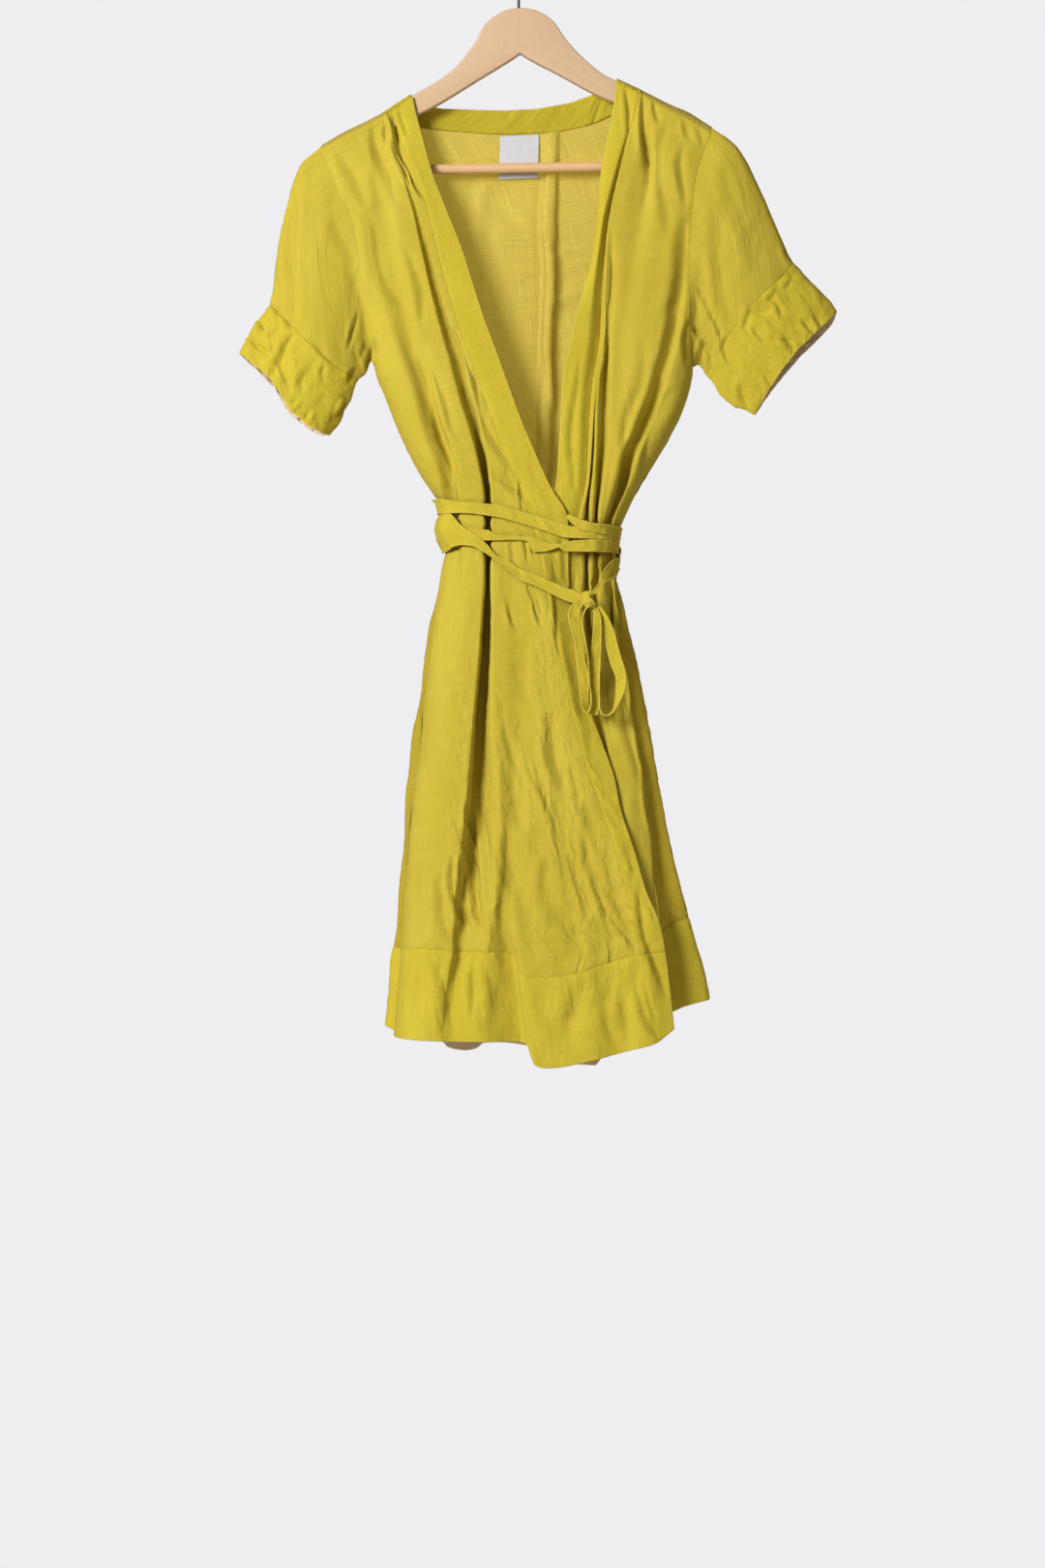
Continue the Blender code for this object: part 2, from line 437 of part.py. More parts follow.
def left_front_net(drop):
    """x and y of the left front's lines from its free edge to its side seam."""
    folds, dips = fold_lines(LEFT_FOLDS, drop)
    side = column(BODY, "right_seam", drop)
    seam = column(LEFT_EDGE, "seam", drop)
    edge = column(LEFT_EDGE, "edge", drop)
    tuck = column(LEFT_EDGE, "tuck", drop)
    nothing = 0 * drop
    half = column(LEFT_VALLEY, "half", drop)
    floor = np.minimum(PLEAT_ROOM, 0.6 * half) / 2
    depth = column(LEFT_VALLEY, "depth", drop)
    turn = turn_lines(side, folds[-1], -1)[::-1]
    inner = in_order([seam + floor, seam + half] + folds + turn, seam, side)
    band = [edge, (2 * edge + seam - half) / 3, seam - half, seam - floor, seam]
    places = np.vstack([*band, inner, side])
    dips = np.vstack([tuck, tuck * 0.3, nothing] + [depth] * 3 + [nothing] + dips + [nothing] * 5)
    start = -column(BODY, "arm", drop) - column(BODY, "right_turn", drop)
    front = -column(BODY, "front", drop) + lap_at(drop)
    depth = start + (front - start) * turn_in((side - places) / ROUND_IN, armhole_at(drop))
    return places, depth + dips * settled(places, drop)


def back_net(drop):
    """x and y of the back's lines from the viewer's left side seam, round behind, to the right."""
    folds, dips = fold_lines(BACK_FOLDS, drop)
    arm = column(BODY, "arm", drop)
    left = column(BODY, "left_out", drop)
    right = column(BODY, "right_out", drop)
    left_seam = column(BODY, "left_seam", drop)
    right_seam = column(BODY, "right_seam", drop)
    neck = [column(NECK_LINES, name, drop) for name in ("left_outer", "left_inner")]
    neck_back = [column(NECK_LINES, name, drop) for name in ("right_inner", "right_outer")]
    turn = turn_lines(left, neck[0], 1)
    turn_back = turn_lines(right, neck_back[1], -1)[::-1]
    inner = in_order(turn + neck + folds + neck_back + turn_back, left, right)
    places = np.vstack([left_seam, left_seam, left, inner, right, right_seam, right_seam])
    over = drop - column(SHOULDERS, "ridge", places)
    rear = 8.7 + (column(BODY, "back", drop) - 8.7) * (1 - np.exp(-np.clip(over - 6, 0, None) / 15))
    nothing = 0 * drop
    dips = np.vstack([nothing] * 9 + dips + [nothing] * 9)
    opened = armhole_at(drop)
    left_start = arm - column(BODY, "left_turn", drop)
    right_start = arm - column(BODY, "right_turn", drop)
    step = SIDE_STEP * (1 - opened)
    from_left = left_start + 2 * step + (left_seam - left) / 4
    from_left = from_left + (rear - from_left) * turn_in((places - left) / ROUND_IN, opened)
    from_right = right_start + 2 * step + (right - right_seam) / 8
    from_right = from_right + (rear - from_right) * turn_in((right - places) / ROUND_IN, opened)
    depth = np.minimum(from_left, from_right)
    places[1] = left_seam - 0.02 * (left_seam - left) + 0.4 * opened
    places[2] = left + 0.8 * opened
    places[-3] = right - 0.8 * opened
    places[-2] = right_seam + 0.02 * (right - right_seam) - 0.4 * opened
    depth[0] = left_start
    depth[1] = left_start + step
    depth[-2] = right_start + step
    depth[-1] = right_start
    return places, depth - dips


def diagonal(net, drops):
    """Every line of a net at its own drop."""
    places, depths = net(drops)
    return np.diagonal(places), np.diagonal(depths)


def settle(net, count, rows, name, drop):
    """The drop at which each line of a net meets a boundary that is given by x."""
    drops = np.full(count, float(drop))
    for _ in range(14):
        places, _ = diagonal(net, drops)
        drops = (drops + column(rows, name, places)) / 2
    return drops


def panel(net, hem, top):
    """Points of a whole panel: a line of the net, a row down it, then x, y and z in millimetres."""
    count = len(net(np.array([300.0]))[0])
    stops = np.empty((count, len(LEVELS)))
    stops[:, 0] = settle(net, count, *top, 180)
    stops[:, 1] = CHEST_DROP
    stops[:, 2] = WAIST_DROP
    stops[:, 3] = settle(net, count, hem, "seam", 1030)
    stops[:, 4] = settle(net, count, hem, "hem", 1120)
    rows = [level + step for level, steps in enumerate(ROW_STEPS) for step in steps] + [LEVELS[-1]]
    drops = np.array([np.interp(rows, LEVELS, line) for line in stops])
    points = np.empty(drops.shape + (3,))
    for row in range(len(rows)):
        points[:, row, 0], points[:, row, 1] = diagonal(net, drops[:, row])
    points[:, :, 2] = -drops
    return points


def toward(points, others, distance):
    """Points moved a little way towards others."""
    way = others - points
    return points + way * (distance / np.linalg.norm(way, axis=-1, keepdims=True))


def cut(points, lines, rows, sewn):
    """Part of a panel, drawn back by half a gap along each border that is sewn."""
    part = points[lines[0]:lines[1] + 1, rows[0]:rows[1] + 1].copy()
    half = SEAM_GAP / 2
    if "left" in sewn:
        part[0] = toward(part[0], part[1], half)
    if "right" in sewn:
        part[-1] = toward(part[-1], part[-2], half)
    if "top" in sewn:
        part[:, 0] = toward(part[:, 0], part[:, 1], half)
    if "bottom" in sewn:
        part[:, -1] = toward(part[:, -1], part[:, -2], half)
    return part


def material(name, colour, roughness, metallic=0.0):
    made = bpy.data.materials.new(name)
    made.use_nodes = True
    shader = made.node_tree.nodes["Principled BSDF"]
    shader.inputs["Base Color"].default_value = (*colour, 1.0)
    shader.inputs["Roughness"].default_value = roughness
    shader.inputs["Metallic"].default_value = metallic
    return made


def add_object(name, data, parts, look):
    made = bpy.data.objects.new(name, data)
    data.materials.append(look)
    parts.objects.link(made)
    return made


def add_sheet(name, points, parts, look, ring=False, holes=None):
    """A cloth piece: a grid of points becomes an open surface, Solidify gives it its wall."""
    lines, rows = points.shape[:2]
    shape = bmesh.new()
    corners = [[shape.verts.new(Vector(place) * MM) for place in line] for line in points]
    for line in range(lines if ring else lines - 1):
        after = (line + 1) % lines
        for row in range(rows - 1):
            if holes is not None and holes(line, row):
                continue
            shape.faces.new((corners[line][row], corners[line][row + 1],
                             corners[after][row + 1], corners[after][row]))
    bmesh.ops.triangulate(shape, faces=shape.faces)
    loose = [vertex for vertex in shape.verts if not vertex.link_faces]
    bmesh.ops.delete(shape, geom=loose, context="VERTS")
    mesh = bpy.data.meshes.new(name)
    shape.to_mesh(mesh)
    shape.free()
    mesh.shade_smooth()
    made = add_object(name, mesh, parts, look)
    solid = made.modifiers.new("wall", "SOLIDIFY")
    solid.thickness = CLOTH * MM
    solid.offset = 0.0


def add_fronts(parts, look):
    """Both fronts with their bands and their lengths of the hem band."""
    top = (SHOULDERS, "seam")
    right = panel(right_front_net, RIGHT_HEM, top)
    left = panel(left_front_net, LEFT_HEM, top)
    last = len(right) - 1
    seam = last - 2
    add_sheet("front_right", cut(right, (0, seam), (0, HEM_ROW), "left right top bottom"), parts, look)
    add_sheet("frontband_right", cut(right, (seam, last), (0, HEM_ROW), "left top bottom"), parts, look)
    add_sheet("hemband_right", cut(right, (0, last), (HEM_ROW, END_ROW), "left top"), parts, look)
    last = len(left) - 1
    seam = 4
    add_sheet("frontband_left", cut(left, (0, seam), (0, HEM_ROW), "right top bottom"), parts, look)
    add_sheet("front_left", cut(left, (seam, last), (0, HEM_ROW), "left right top bottom"), parts, look)
    add_sheet("hemband_left", cut(left, (0, last), (HEM_ROW, END_ROW), "right top"), parts, look)
    return right, left


def shoulder_cap(x, front_y, front_z):
    """One line of the back over the top of the shoulder, from the front seam to behind it."""
    ridge = float(column(SHOULDERS, "ridge", x))
    return np.array([
        (x, front_y, front_z + 2 * SEAM_GAP), (x, front_y + 0.6, front_z + 2),
        (x, -6.5, -ridge - 1.2), (x, 0.0, -ridge), (x, 6.5, -ridge - 1.2)])


def add_back(right, left, parts, look):
    """The back, which reaches over both shoulders to the front, and its length of hem band."""
    points = panel(back_net, BACK_HEM, (BACK_TOP, "drop"))
    lines = len(points)
    places = points[:, 0, 0]
    inside = [row for row in NECK if row.seam_y > 8.6]
    neck_x = [row.seam_x for row in inside]
    at_neck = [line for line in range(lines) if neck_x[0] + 2 < places[line] < neck_x[-1] - 2]
    for line in at_neck:
        points[line, 0, 1] = np.interp(places[line], neck_x, [row.seam_y for row in inside])
    neck_seam = points[at_neck, 0].copy()
    points[at_neck, 0, 2] -= SEAM_GAP
    top = np.concatenate([right[:, 0], left[:, 0]])
    cap_x = in_order(places, places[0] - CAP_STEP, places[-1] + CAP_STEP, CAP_STEP)
    caps = []
    for x in cap_x:
        front_y = np.interp(x, top[:, 0], top[:, 1])
        front_z = np.interp(x, top[:, 0], top[:, 2])
        caps.append(shoulder_cap(x, front_y, front_z))
    caps = np.array(caps)
    whole = np.concatenate([caps, points], axis=1)
    cap_rows = caps.shape[1]
    hem_row = cap_rows + HEM_ROW

    def open_neck(line, row):
        return row < cap_rows and at_neck[0] - 1 <= line <= at_neck[-1]

    main = cut(whole, (0, lines - 1), (0, hem_row), "left right bottom")
    add_sheet("back", main, parts, look, holes=open_neck)
    hem = cut(whole, (0, lines - 1), (hem_row, whole.shape[1] - 1), "left right top")
    add_sheet("hemband_back", hem, parts, look)
    return neck_seam


def add_neckband(neck_seam, parts, look):
    """The back neck band from its free edge to its seam, over both shoulders. Behind the neck
    its seam is the top of the back."""
    behind = [row for row in NECK if row.seam_y > 0]
    across = [row.seam_x for row in behind]
    low = float(neck_seam[0, 0])
    high = float(neck_seam[-1, 0])
    seam = [(row.seam_x, row.seam_y, -row.seam_drop) for row in NECK if row.seam_x < low]
    edge = [(row.edge_x, row.edge_y, -row.edge_drop) for row in NECK if row.seam_x < low]
    for x, y, z in neck_seam:
        seam.append((x, y, z))
        edge.append([sign * np.interp(x, across, [getattr(row, name) for row in behind])
                     for name, sign in (("edge_x", 1), ("edge_y", 1), ("edge_drop", -1))])
    seam += [(row.seam_x, row.seam_y, -row.seam_drop) for row in NECK if row.seam_x > high]
    edge += [(row.edge_x, row.edge_y, -row.edge_drop) for row in NECK if row.seam_x > high]
    seam = np.array(seam)
    edge = np.array(edge)
    points = np.stack([edge, (edge + seam) / 2, seam], axis=1)
    points = cut(points, (0, len(seam) - 1), (0, 2), "left right bottom")
    add_sheet("neckband_back", points, parts, look)


def sleeve_rings(table, armhole, outward):
    """Rings of a sleeve from the armhole to the cuff's edge: the front lines, then the back ones.
    armhole is the line of points that the front ends in there."""
    front = []
    for line in table:
        drop = line.armhole_drop
        away = 2 * SEAM_GAP + (UNDERARM_AWAY if line.name == "under" else 0.0)
        x = np.interp(drop, -armhole[:, 2], armhole[:, 0]) + outward * away
        arm = 0.0 if line.name in ("top", "under") else -np.interp(drop, -armhole[:, 2], armhole[:, 1])
        arm = line.depth[0] if line.name == "crown" else arm
        rings = [(x, -arm, -drop)]
        rings += [(x, -y, -drop) for x, y, drop in zip(line.x, line.depth, line.drop)]
        front.append(rings)
    behind = [[(x, -y, z) for x, y, z in line] for line in front[-2:0:-1]]
    return np.array(front + behind)


def add_sleeves(right, left, parts, look):
    for name, table, armhole, outward in (
            ("right", RIGHT_SLEEVE, right[0], -1.0), ("left", LEFT_SLEEVE, left[-1], 1.0)):
        rings = sleeve_rings(table, armhole, outward)
        if outward > 0:
            rings = rings[::-1]
        last = len(rings) - 1
        add_sheet("sleeve_" + name, cut(rings, (0, last), (0, 4), "bottom"), parts, look, ring=True)
        add_sheet("cuff_" + name, cut(rings, (0, last), (4, 5), "top"), parts, look, ring=True)


def girdle(turns, drops, lifts):
    """Points round the waist. turn 0 is the left side, 1 the right side, 2 the left side again."""
    left = column(BODY, "left_out", drops)
    right = column(BODY, "right_out", drops)
    half = (right - left) / 2
    angle = math.pi * (1 - turns)
    x = (left + right) / 2 + half * np.cos(angle)
    inward = half * (1 - np.abs(np.cos(angle)))
    before = -column(BODY, "front", drops) * turn_in(inward / ROUND_IN)
    start = 2 * SIDE_STEP
    behind = start + (column(BODY, "back", drops) - start) * turn_in(inward / ROUND_IN)
    y = np.where(turns <= 1, before, behind)
    run = np.stack([np.gradient(x), np.gradient(y)])
    run /= np.linalg.norm(run, axis=0)
    return np.stack([x + run[1] * lifts, y - run[0] * lifts, -drops], axis=1)


def add_strands(parts, look):
    for name, rows in {**FRONT_TIES, **BACK_TIES}.items():
        first = rows[0].turn
        last = rows[-1].turn
        turns = np.linspace(first, last, 5 + round(STRAND_STEPS * (last - first)))
        lifts = column(rows, "lift", turns) + TIE_LIFT
        upper = column(rows, "upper", turns)
        lower = column(rows, "lower", turns)
        lines = [girdle(turns, drops, lifts) for drops in (upper, (upper + lower) / 2, lower)]
        add_sheet(name, np.stack(lines, axis=1), parts, look)


def add_bow(parts, look):
    for name, rows in BOW.items():
        points = []
        for row in rows:
            y = -float(column(BODY, "front", row.drop)) - row.lift
            half = row.width / 2
            turn = math.radians(row.turn)
            points.append((row.x, y, -row.drop, half * math.cos(turn), half * math.sin(turn)))
        points = np.array(points)
        run = np.gradient(points[:, :3], axis=0)
        aside = np.array([(-way[2], 0, way[0]) for way in run])
        aside /= np.linalg.norm(aside, axis=1)[:, None]
        out = np.array([(0.0, 1.0, 0.0)])
        reach = aside * points[:, 3:4] + out * points[:, 4:5]
        add_sheet(name, np.stack([points[:, :3] - reach, points[:, :3] + reach], axis=1), parts, look)
    mesh = bpy.data.meshes.new("tie_knot")
    ball = bmesh.new()
    bmesh.ops.create_uvsphere(ball, u_segments=20, v_segments=12, radius=MM)
    bmesh.ops.scale(ball, verts=ball.verts, vec=KNOT_SIZE)
    x, drop, lift = KNOT
    y = -float(column(BODY, "front", drop)) - lift
    bmesh.ops.translate(ball, verts=ball.verts, vec=Vector((x, y, -drop)) * MM)
    ball.to_mesh(mesh)
    ball.free()
    mesh.shade_smooth()
    add_object("tie_knot", mesh, parts, look)


def add_label(parts, look):
    """The label hangs just in front of the back, below the neck band's seam."""
    width, height, thick = LABEL
    top = Vector((-1.0, 15.4, -193.0))
    lean = math.atan2(2.0, height)
    mesh = bpy.data.meshes.new("label")
    slab = bmesh.new()
    bmesh.ops.create_cube(slab, size=MM)
    bmesh.ops.scale(slab, verts=slab.verts, vec=(width, thick, height))
    bmesh.ops.translate(slab, verts=slab.verts, vec=(0, 0, -height / 2 * MM))
    bmesh.ops.rotate(slab, verts=slab.verts, matrix=Matrix.Rotation(lean, 3, "X"))
    bmesh.ops.translate(slab, verts=slab.verts, vec=top * MM)
    slab.to_mesh(mesh)
    slab.free()
    add_object("label", mesh, parts, look)


def add_wire(name, places, radius, parts, look):
    """A round bar or wire along points, with closed ends."""
    curve = bpy.data.curves.new(name, "CURVE")
    curve.dimensions = "3D"
    curve.bevel_depth = radius * MM
    curve.bevel_resolution = 3
    curve.use_fill_caps = True
    spline = curve.splines.new("POLY")
    spline.points.add(len(places) - 1)
    for point, (x, drop) in zip(spline.points, places):
        point.co = (x * MM, 0.0, -drop * MM, 1.0)
    return add_object(name, curve, parts, look)


def add_hanger(parts, wood, metal):
    outline = HANGER_TOP + HANGER_UNDER
    curve = bpy.data.curves.new("hanger_body", "CURVE")
    curve.dimensions = "2D"
    curve.fill_mode = "BOTH"
    curve.extrude = (HANGER_THICK / 2 - HANGER_EDGE) * MM
    curve.bevel_depth = HANGER_EDGE * MM
    curve.bevel_resolution = 1
    curve.offset = -HANGER_EDGE * MM
    spline = curve.splines.new("POLY")
    spline.points.add(len(outline) - 1)
    for point, spot in zip(spline.points, outline):
        point.co = (spot.x * MM, -spot.drop * MM, 0.0, 1.0)
    spline.use_cyclic_u = True
    body = add_object("hanger_body", curve, parts, wood)
    body.rotation_euler = (math.radians(90), 0, 0)
    add_wire("hanger_bar", (BAR_LEFT, BAR_RIGHT), BAR_RADIUS, parts, wood)
    radius = HOOK_INNER + WIRE_RADIUS
    wire = [(HOOK_STEM, HANGER_CREST - SEAM_GAP), (HOOK_STEM, 50.0), (-1.6, 42.0)]
    for step in range(25):
        angle = math.radians(-85 + 260 * step / 24)
        wire.append((radius * math.cos(angle), HOOK_INNER - radius * math.sin(angle)))
    add_wire("hanger_hook", wire, WIRE_RADIUS, parts, metal)


def main():
    for old in list(bpy.data.objects):
        bpy.data.objects.remove(old, do_unlink=True)
    parts = bpy.data.collections.new("wrap_dress_on_hanger")
    bpy.context.scene.collection.children.link(parts)
    cloth = material("cloth", CLOTH_COLOUR, 0.85)
    wood = material("wood", WOOD_COLOUR, 0.5)
    metal = material("wire", WIRE_COLOUR, 0.35, 1.0)
    right, left = add_fronts(parts, cloth)
    neck_seam = add_back(right, left, parts, cloth)
    add_neckband(neck_seam, parts, cloth)
    add_sleeves(right, left, parts, cloth)
    add_strands(parts, cloth)
    add_bow(parts, cloth)
    add_label(parts, material("label", LABEL_COLOUR, 0.6))
    add_hanger(parts, wood, metal)


main()
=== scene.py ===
import math

import bmesh
import bpy
import numpy as np
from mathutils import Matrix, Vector


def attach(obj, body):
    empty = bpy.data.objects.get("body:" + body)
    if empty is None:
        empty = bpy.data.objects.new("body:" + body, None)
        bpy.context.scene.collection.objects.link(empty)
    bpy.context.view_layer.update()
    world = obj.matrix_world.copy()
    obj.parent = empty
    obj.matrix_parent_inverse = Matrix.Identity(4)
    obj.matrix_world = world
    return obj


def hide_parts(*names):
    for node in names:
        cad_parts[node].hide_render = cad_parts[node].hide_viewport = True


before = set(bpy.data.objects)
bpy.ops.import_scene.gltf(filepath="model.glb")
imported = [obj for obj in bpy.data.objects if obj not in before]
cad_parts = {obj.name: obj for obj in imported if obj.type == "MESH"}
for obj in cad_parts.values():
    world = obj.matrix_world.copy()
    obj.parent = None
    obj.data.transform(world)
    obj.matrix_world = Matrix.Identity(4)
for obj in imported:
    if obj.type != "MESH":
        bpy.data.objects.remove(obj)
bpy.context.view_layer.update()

# Tables are in millimetres. x runs to the viewer's right, y to the back, and drop is the distance
# below the inside top of the hook. "right" in a name is the wearer's right, at the viewer's left.
mm = 0.001
front = (0, -1, 0)
rear = (0, 1, 0)


def table(columns, *rows):
    return dict(zip(columns.split(), np.array(rows, float).T))


def tables(columns, **named):
    return {name: table(columns, *rows) for name, rows in named.items()}


def tangents(stops, values):
    # slopes at the knots of a curve that never passes beyond them, knots down the first axis
    step = np.diff(stops, axis=0)
    slope = np.diff(values, axis=0) / step
    lean = np.zeros_like(values)
    rising = slope[:-1] * slope[1:] > 0
    before = np.where(rising, slope[:-1], 1.0)
    after = np.where(rising, slope[1:], 1.0)
    near = 2 * step[1:] + step[:-1]
    far = step[1:] + 2 * step[:-1]
    lean[1:-1] = np.where(rising, (near + far) / (near / before + far / after), 0.0)
    lean[0] = slope[0]
    lean[-1] = slope[-1]
    return lean


def between(part, width, start, end, startLean, endLean):
    value = start * (1 + 2 * part) * (1 - part) ** 2 + end * part ** 2 * (3 - 2 * part)
    return value + width * (startLean * part * (1 - part) ** 2 - endLean * part ** 2 * (1 - part))


def glide(stops, values, at):
    stops = np.asarray(stops, float)
    values = np.asarray(values, float)
    at = np.clip(np.asarray(at, float), stops[0], stops[-1])
    lean = tangents(stops, values)
    index = np.clip(np.searchsorted(stops, at, side="right") - 1, 0, len(stops) - 2)
    width = stops[index + 1] - stops[index]
    part = (at - stops[index]) / width
    return between(part, width, values[index], values[index + 1], lean[index], lean[index + 1])


def read(rows, name, at):
    # one named column of a table, read at any value of its first column
    return glide(rows[next(iter(rows))], rows[name], at)


def cloud(u, v, seed):
    # soft noise from -1 to 1, a new value at each whole number
    cells = 97
    grid = np.random.default_rng(seed).uniform(-1, 1, (cells, cells))
    column = np.floor(u).astype(int)
    row = np.floor(v).astype(int)
    a = u - column
    b = v - row
    a = a * a * (3 - 2 * a)
    b = b * b * (3 - 2 * b)
    here, above = column % cells, row % cells
    beside, below = (column + 1) % cells, (row + 1) % cells
    top = grid[here, above] * (1 - a) + grid[beside, above] * a
    low = grid[here, below] * (1 - a) + grid[beside, below] * a
    return top * (1 - b) + low * b


def inOrder(lines, low, high, least=0.6):
    # keeps neighbouring lines apart, and all of them between two others
    lines = np.array(lines, float)
    for index in range(len(lines)):
        lines[index] = np.maximum(lines[index], (lines[index - 1] if index else low) + least)
    for index in range(len(lines) - 1, -1, -1):
        after = lines[index + 1] if index < len(lines) - 1 else high
        lines[index] = np.minimum(lines[index], after - least)
    return lines


def runs(points, axis=0):
    # how far along one way of a grid of points each of them lies, from 0
    step = np.linalg.norm(np.diff(points, axis=axis), axis=-1)
    return np.concatenate([0 * step.take([0], axis), np.cumsum(step, axis=axis)], axis=axis)


def soften(grid, passes, axis=0):
    grid = np.moveaxis(grid, axis, 0).copy()
    for _ in range(passes):
        grid[1:-1] = grid[1:-1] / 2 + (grid[2:] + grid[:-2]) / 4
    return np.moveaxis(grid, 0, axis)


def softenRing(grid, passes):
    for _ in range(passes):
        grid = grid / 2 + (np.roll(grid, 1, axis=0) + np.roll(grid, -1, axis=0)) / 4
    return grid


def within(value, low, high, blur):
    return 1 / (1 + np.exp(-(value - low) / blur)) / (1 + np.exp((value - high) / blur))


class Wire:
    # a node's output that sums and products can be written with
    def __init__(self, sheet, node, output):
        self.sheet = sheet
        self.node = node
        self.socket = node.outputs[output]

    def out(self, output):
        return Wire(self.sheet, self.node, output)

    def math(self, operation, first, second=0.0):
        return self.sheet.node("Math", {"operation": operation}, {0: first, 1: second})

    def __add__(self, other):
        return self.math("ADD", self, other)

    def __sub__(self, other):
        return self.math("SUBTRACT", self, other)

    def __rsub__(self, other):
        return self.math("SUBTRACT", other, self)

    def __mul__(self, other):
        return self.math("MULTIPLY", self, other)

    def __truediv__(self, other):
        return self.math("DIVIDE", self, other)

    def __rtruediv__(self, other):
        return self.math("DIVIDE", other, self)

    def __pow__(self, other):
        return self.math("POWER", self, other)

    def __abs__(self):
        return self.math("ABSOLUTE", self)

    __radd__ = __add__
    __rmul__ = __mul__

    def sine(self):
        return self.math("SINE", self)

    def held(self, low=0.0, high=1.0):
        return self.sheet.node("Clamp", {}, {0: self, 1: low, 2: high})


class Sheet:
    # the node sheet of a material or a world
    def __init__(self, owner):
        self.owner = owner
        self.owner.use_nodes = True
        self.tree = owner.node_tree
        self.tree.nodes.clear()

    def node(self, kind, settings, sockets, output=0):
        made = self.tree.nodes.new("ShaderNode" + kind)
        for name, value in settings.items():
            setattr(made, name, value)
        for name, value in sockets.items():
            if isinstance(value, Wire):
                self.tree.links.new(value.socket, made.inputs[name])
            else:
                made.inputs[name].default_value = value
        return Wire(self, made, output) if len(made.outputs) else made

    def field(self, name):
        # a vector that the mesh carries: the wire is its x, out(1) its y and out(2) its z
        carried = self.node("Attribute", {"attribute_name": name}, {}, "Vector")
        return self.node("SeparateXYZ", {}, {0: carried})

    def mix(self, share, first, second):
        return self.node("Mix", {"data_type": "RGBA"}, {0: share, 6: first, 7: second}, 2)

    def vector(self, x, y, z=0.0):
        return self.node("CombineXYZ", {}, {0: x, 1: y, 2: z})

    def noise(self, place, detail):
        return self.node("TexNoise", {}, {"Vector": place, "Scale": 1.0, "Detail": detail})

    def bump(self, height, strength):
        return self.node("Bump", {}, {"Strength": strength, "Distance": 1.0, "Height": height})

    def finish(self, shader, output="OutputMaterial"):
        self.node(output, {}, {"Surface": shader})
        return self.owner


# linen: one dictionary for each side of the cloth, with lengths in metres. ditch and sewn are
# how wide a seam's groove and its stitches are, stitch is a stitch's length, rim how wide the painted
# highlight along a finished edge is
outerLinen = {
    "light": (0.63, 0.518, 0.072, 1), "deep": (0.44, 0.345, 0.014, 1), "wearAndHighlight": (0.68, 0.58, 0.15, 1),
    "through": (0.76, 0.62, 0.06, 1), "share": 0.12, "thread": 0.00075, "rough": 0.82,
    "fold": 0.0042, "facet": 0.0056, "crumb": 0.0014, "nick": 0.00016, "slub": 1.0, "grain": 1.5,
    "mesh": 0.0, "ditch": 0.0011, "sewn": 0.0016, "stitch": 0.0021, "rim": 0.0013,
}
doubledLinen = {**outerLinen, "share": 0.06, "light": (0.61, 0.505, 0.053, 1)}
# painted shade: the neck band is a darker copy of the doubled linen, for the shade it lies in
shadedNeckLinen = {**doubledLinen, "light": (0.52, 0.43, 0.040, 1), "deep": (0.40, 0.32, 0.012, 1)}
backOuterLinen = {**outerLinen, "share": 0.42, "through": (0.90, 0.81, 0.30, 1)}
# the inside of the back: paler and less saturated than its outside, partly as the wrong side of the cloth and
# partly painted light for the glow through it; its threads and open weave show stronger
backGlowLinen = {
    **backOuterLinen, "light": (0.70, 0.59, 0.14, 1), "deep": (0.42, 0.30, 0.05, 1),
    "slub": 2.8, "grain": 3.2, "mesh": 0.16,
}
facingLinen = {
    **outerLinen, "light": (0.86, 0.69, 0.51, 1), "deep": (0.64, 0.48, 0.33, 1),
    "wearAndHighlight": (0.88, 0.78, 0.66, 1), "through": (0.75, 0.62, 0.35, 1), "share": 0.10, "rough": 0.85,
}


